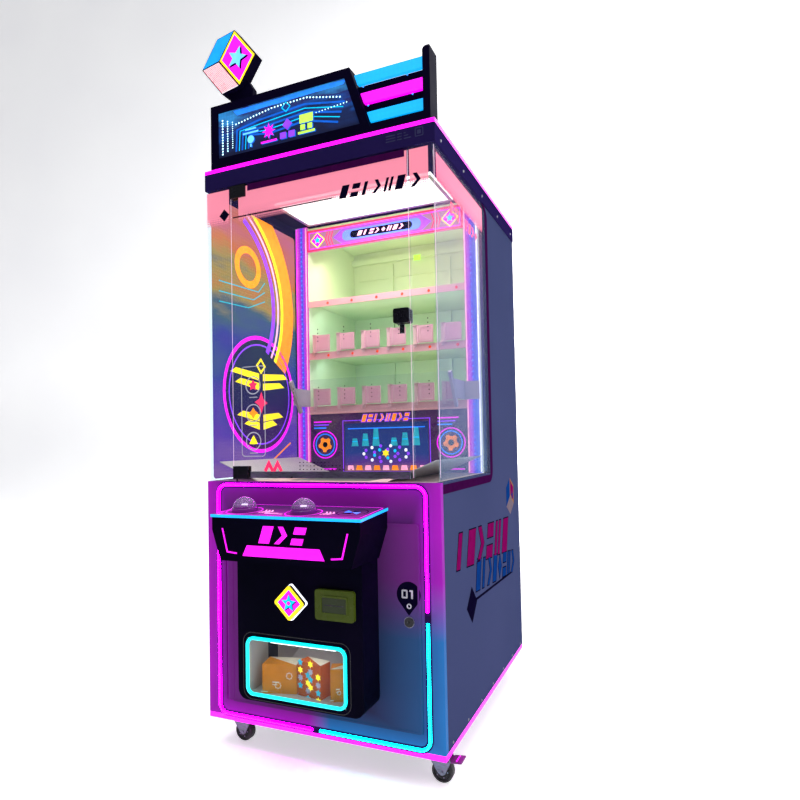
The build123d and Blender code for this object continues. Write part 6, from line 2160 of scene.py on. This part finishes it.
@dataclass(frozen=True)
class SignBox:
    """The sign on the roof: black frame, deep mirror window, light bars and the cube."""

    emblem_reach: float = 0.03

    def build(self) -> None:
        """Builds the whole sign."""
        dress(BLACK_COAT, "topper_frame")
        parts = take_apart("topper_panels", lambda low, high: "window" if high.z - low.z > 0.08 else f"bar_{int(low.z * 1000)}")
        low, high = span_of(parts["window"])
        depth = BlendGlow(
            "deep_mirror", ((0.0, (0.0, 0.004, 0.03, 1)), (0.38, (0.0, 0.02, 0.12, 1)), (0.55, (0.005, 0.09, 0.45, 1)), (0.7, (0.02, 0.02, 0.16, 1)), (1.0, (0.04, 0.4, 1.0, 1))), "Z", low.z, high.z, 0.75, 1.4,
        )
        bars = sorted(key for key in parts if key != "window")
        fit(keep(parts["window"], "sign_window", [depth]), "cabinet", "depth_window", "topper_panels")
        for i, key in enumerate(bars):
            fit(soften(keep(parts[key], f"sign_bar_{i + 1}", [BAR_MAGENTA if i == 1 else BAR_BLUE]), 0.002), "cabinet", "magenta_light" if i == 1 else "cyan_light")
        self.window(low, high)
        self.studs()
        self.cube()

    def window(self, low: Vector, high: Vector) -> None:
        """Lays the window's lamp rows, streaks and picture marks.

        Args:
            low: The window's lowest corner.
            high: Its highest corner.
        """
        face = Face(Vector((low.x, low.y, low.z)), Vector((1, 0, 0)), Vector((0, 0, 1)), Side.FRONT.out)
        wide, tall = high.x - low.x, high.z - low.z
        rows = []
        for i, x in enumerate((0.016, 0.036, 0.056)):
            rows.append(Row(face.at(x, 0.014 + 0.007 * i), Vector((0, 0, (tall - 0.04 - 0.014 * i) / 12)), 13, 0.003 - 0.0006 * i, 0.0008, Side.FRONT, 8))
        sweeps = (((0.07, tall - 0.05), (0.0115, 0.0018), 12), ((0.208, tall - 0.0285), (0.0118, 0.0003), 11), ((0.338, tall - 0.026), (0.0115, -0.0026), 11))
        for spot, (right, up), count in sweeps:
            rows.append(Row(face.at(*spot), Vector((right, 0, up)), count, 0.0027, 0.0008, Side.FRONT, 8))
        rows.append(Row(face.at(0.36, 0.07), Vector((0.0105, 0, 0.0008)), 12, 0.0018, 0.0008, Side.FRONT, 8))
        fit(REPEAT.lay("mirror_lamps", rows, LED), "cabinet", "white_light")
        art = Plates("mirror_streaks", face, 0.0004)
        art.add([(0.06, tall - 0.004), (0.075, tall - 0.021), (wide - 0.055, tall - 0.016), (wide - 0.045, tall - 0.004)], LIT_BLUE)
        for i in range(5):
            lift = 0.013 * i
            path = [(0.07 + 0.012 * i, 0.012), (0.074 + 0.012 * i, tall - 0.07 - lift * 0.5), (0.16 + 0.01 * i, tall - 0.056 - lift), (0.33, tall - 0.045 - lift), (wide - 0.05 - 0.006 * i, tall - 0.07 - 1.1 * lift)]
            art.line(path, 0.0062 if i % 2 == 0 else 0.0028, (DEEP_BLUE, LIT_CYAN)[i % 2], 0.00005 * i)
        for k, shade in enumerate((CUBE_SKY, LIT_MAGENTA, LIT_VIOLET, LIT_LIME)):
            self.emblem(art, k, (0.128 + 0.069 * k, 0.046), shade)
        art.band(diamond((0.262, 0.114), 0.017), 0.0028, LIT_CYAN, 0.0008)
        art.done("cabinet", "depth_window")

    def emblem(self, art: Plates, kind: int, spot: Point, shade: Print) -> None:
        """Draws one abstract emblem of bars, discs and rays.

        Args:
            art: The plates it joins.
            kind: Which of the four it is.
            spot: Its middle.
            shade: Its ink.
        """
        (u, v), s = spot, self.emblem_reach
        shapes = (
            (rect(u - s, v + s * 0.45, u + s, v + s * 0.62), rect(u - s * 0.7, v + s * 0.85, u + s * 0.7, v + s), disc((u, v - s * 0.2), s * 0.42, 18), rect(u - s * 0.1, v - s, u + s * 0.1, v - s * 0.7)),
            (star((u, v + s * 0.2), s * 0.85, 8, 0.45), rect(u - s, v - s, u + s, v - s * 0.8)),
            (diamond((u, v + s * 0.4), s * 0.6), rect(u - s * 0.9, v - s, u - s * 0.15, v - s * 0.35), rect(u + s * 0.15, v - s, u + s * 0.9, v - s * 0.35)),
            (rect(u - s * 0.8, v + s * 0.1, u + s * 0.8, v + s), rect(u - s, v - s, u + s, v - s * 0.75), rect(u - s * 0.7, v - s * 0.6, u - s * 0.15, v - s * 0.05), rect(u + s * 0.15, v - s * 0.6, u + s * 0.7, v - s * 0.05)),
        )[kind]
        for shape in shapes:
            art.add([(x + 0.004, z - 0.003) for x, z in shape], DEEP_BLUE, 0.0006)
            art.add(shape, shade, 0.0011)

    def studs(self) -> None:
        """Drives the studs between the light bars and pierces the vents at the rear."""
        low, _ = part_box("topper_frame")
        bars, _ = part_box("topper_panels")
        rows = [Row(Vector((x, low.y, bars.z + z)), Vector((0.14, 0, 0)), 2, 0.0026, 0.0008, Side.FRONT, 10) for x, z in ((0.2, 0.047), (0.185, 0.107))]
        fit(REPEAT.lay("sign_studs", rows, BLUE_LED), "cabinet", "chrome_lock")
        back = Face.of("topper_frame", Side.BACK)
        slots = [Row(back.at(0.12 * sign - 0.05, 0.05), back.across * 0.016, 8, 0.003, 0.0006, Side.BACK, 8, rows=4, row_step=(0.0, 0.0, 0.022), stretch=(1.0, 2.4, 1.0)) for sign in (-1, 1)]
        fit(REPEAT.lay("sign_vents", slots, GLOSS_BLACK), "cabinet", "topper_black")

    def cube(self) -> None:
        """Prints the cube on its flat can."""
        dress(BLACK_COAT, "cube_sign")
        low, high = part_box("cube_sign")
        face = Face(Vector((high.x, low.y, high.z)), Vector((1, 0, 0)), Vector((0, 0, 1)), Side.FRONT.out)
        top, right, right_foot, foot, left, left_top = (-0.081, 0.0), (0.0, -0.101), (-0.063, -0.189), (-0.133, -0.201), (-0.214, -0.1), (-0.151, -0.012)
        art = Plates("cube_print", face, 0.0006)
        art.add(inset([left_top, top, (top[0] - 0.063, top[1] - 0.088), (left_top[0] - 0.063, left_top[1] - 0.088)], 0.0025), CUBE_BLUE)
        corner = (top[0] - 0.063, top[1] - 0.088)
        art.add(inset([corner, top, right, right_foot], 0.0025), LIT_YELLOW)
        art.add(inset([corner, top, right, right_foot], 0.0095), LIT_MAGENTA, 0.0006)
        hub = ((corner[0] + right[0]) / 2, (corner[1] + right[1]) / 2)
        art.add(star((hub[0] + 0.005, hub[1] - 0.004), 0.041, turn=70.0), DARK_INK, 0.0012)
        art.add(star(hub, 0.037, turn=70.0), CUBE_SKY, 0.0018)
        white = [left, corner, right_foot, foot]
        art.add(inset(white, 0.0025), CUBE_WHITE)
        for i in range(13):
            t = 0.06 + 0.073 * i
            art.line(on_quad([(t, 0.04), (t, 0.96)], white), 0.0011, LIT_RED, 0.0006)
        art.done("cabinet", "sign_print")


@dataclass(frozen=True)
class Casters:
    """Four swivel casters, the front ones with foot brakes."""

    ends: tuple[str, ...] = ("front_left", "front_right", "rear_left", "rear_right")

    def build(self) -> None:
        """Dresses the casters and adds hub caps."""
        for end in self.ends:
            dress(STEEL, f"caster_fork_{end}")
            dress(TYRE, f"caster_wheel_{end}")
            self.hub(end)
        dress(PEDAL_PAINTED_GLOW, "brake_pedal_front_left", "brake_pedal_front_right")
        for end in self.ends[:2]:
            self.ribs(end)

    def hub(self, end: str) -> None:
        """Bolts the axle's ends to a fork.

        Args:
            end: Which caster.
        """
        spins = (joint for joint in frame["record"]["behaviour"]["joints"] if joint["name"] == f"wheel_spin_{end}")
        axle = Vector(next(spins)["axis"])
        centre = sum(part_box(f"caster_wheel_{end}"), Vector()) / 2
        reach = max((v.co - centre).dot(axle) for v in frame["nodes"][f"caster_wheel_{end}"].data.vertices)
        across = axle.cross(Vector((0, 0, 1))).normalized()
        for k, sign in enumerate((-1, 1)):
            out = axle * sign
            art = Plates(f"hub_cap_{end}_{k + 1}", Face(centre + out * reach, across, Vector((0, 0, 1)), out), 0.0004)
            art.between(disc((0, 0), 0.02, 24), disc((0, 0), 0.013, 24), GLOSS_BLACK)
            for i in range(5):
                a = 72 * i
                art.add(disc(tuple(0.0165 * c for c in (math.cos(math.radians(a)), math.sin(math.radians(a)))), 0.002, 8), STEEL, 0.0004, 0.0002)
            art.done(f"caster_wheel_{end}", "black_tyre")

    def ribs(self, end: str) -> None:
        """Lays the grip ribs on a brake pedal, the first one painted as a magenta highlight.

        Args:
            end: Which caster.
        """
        low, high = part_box(f"brake_pedal_{end}")
        mesh = frame["nodes"][f"brake_pedal_{end}"].data
        tread = max((f for f in mesh.polygons if f.normal.z > 0.5), key=lambda f: f.area)
        out = tread.normal.copy()
        along = Vector((0, 1, 0)).cross(out).normalized()
        points = [v.co for v in mesh.vertices]
        height = max(p.dot(out) for p in points if p.x > high.x - 0.03)
        tip = Vector((high.x - 0.004, (low.y + high.y) / 2, 0))
        tip += out * (height - tip.dot(out))
        art = Plates(f"pedal_ribs_{end}", Face(tip, Vector((0, 1, 0)), -along if along.x > 0 else along, out), 0.0012)
        for i in range(4):
            # The first rib is a painted magenta highlight; the other ribs take the pedal plastic with its painted glow.
            art.add(rect(-0.017, 0.004 + 0.006 * i, 0.017, 0.007 + 0.006 * i), LIT_MAGENTA if i == 0 else PEDAL_PAINTED_GLOW)
        art.done(f"brake_pedal_{end}" if f"brake_pedal_{end}" in frame["bodies"] else self.pedal_body(end), "pedal_red")

    def pedal_body(self, end: str) -> str:
        """Finds the body that carries a pedal."""
        bodies = frame["record"]["behaviour"]["bodies"]
        return next(name for name, nodes in bodies.items() if f"brake_pedal_{end}" in nodes)


@dataclass(frozen=True)
class RearFittings:
    """What sits at the rear: electronics case, power inlet and the rear door's edge and rivets.

    Attributes:
        hinge_gap: How far the door's edge stays from the hinge side, so that it clears the panel.
    """

    hinge_gap: float = 0.025

    def build(self) -> None:
        """Dresses the rear fittings and adds their small parts."""
        dress(CASE_STEEL, "electronics_box")
        dress(GLOSS_BLACK, "power_inlet")
        low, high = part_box("power_inlet")
        face = Face.on(low, high, Side.BACK)
        tall = high.z - low.z
        art = Plates("inlet_pins", face, 0.0006)
        art.band(rounded(-0.019, tall / 2 - 0.0115, 0.019, tall / 2 + 0.0115, 0.003), 0.002, STEEL)
        for u, v in ((-0.007, -0.003), (0.007, -0.003), (0.0, 0.004)):
            art.add(rect(u - 0.001, tall / 2 + v - 0.002, u + 0.001, tall / 2 + v + 0.002), CHROME, 0.0, 0.0009)
        art.done("cabinet", "black_plastic")
        self.rear_door()

    def rear_door(self) -> None:
        """Frames the rear door's vents and rivets its skin."""
        low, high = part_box("rear_door")
        face = Face(Vector(((low.x + high.x) / 2, high.y - 0.006, low.z)), Vector((-1, 0, 0)), Vector((0, 0, 1)), Side.BACK.out)
        half, tall = (high.x - low.x) / 2, high.z - low.z
        art = Plates("rear_door_edge", face, 0.0012)
        art.band(rounded(-half + 0.004, 0.004, half - self.hinge_gap, tall - 0.004, 0.006, 4), 0.006, NAVY_STEEL)
        art.band(rounded(-0.108, tall - 0.262, 0.108, tall - 0.1, 0.008, 4), 0.006, NAVY_STEEL)
        art.done("rear_door", "navy_steel")
        rows = [Row(face.at(u, 0.03), Vector((0, 0, (tall - 0.06) / 8)), 9, 0.0038, 0.0014, Side.BACK) for u in (-half + 0.018, half - self.hinge_gap - 0.012)]
        fit(REPEAT.lay("rear_door_rivets", rows, SCREW), "rear_door", "chrome_lock")


def main() -> None:
    """Builds every sub-assembly in order."""
    logging.basicConfig(level=logging.INFO, format="%(message)s")
    for assembly in (
        Studio(), SteelShell(), LightStrips(), Glazing(), FlankFilm(), PrizeBay(), DisplayUnit(),
        BannerAndColumns(), ServiceDoor(), ControlDesk(), SignBox(), Casters(), RearFittings(),
    ):
        LOG.info("-- %s", type(assembly).__name__)
        assembly.build()
    for node, piece in frame["nodes"].items():
        if not piece.hide_render and not any(place.material and place.material.name in _made for place in piece.material_slots):
            LOG.warning("%s has no finish of its own", node)


if __name__ == "__main__":
    main()
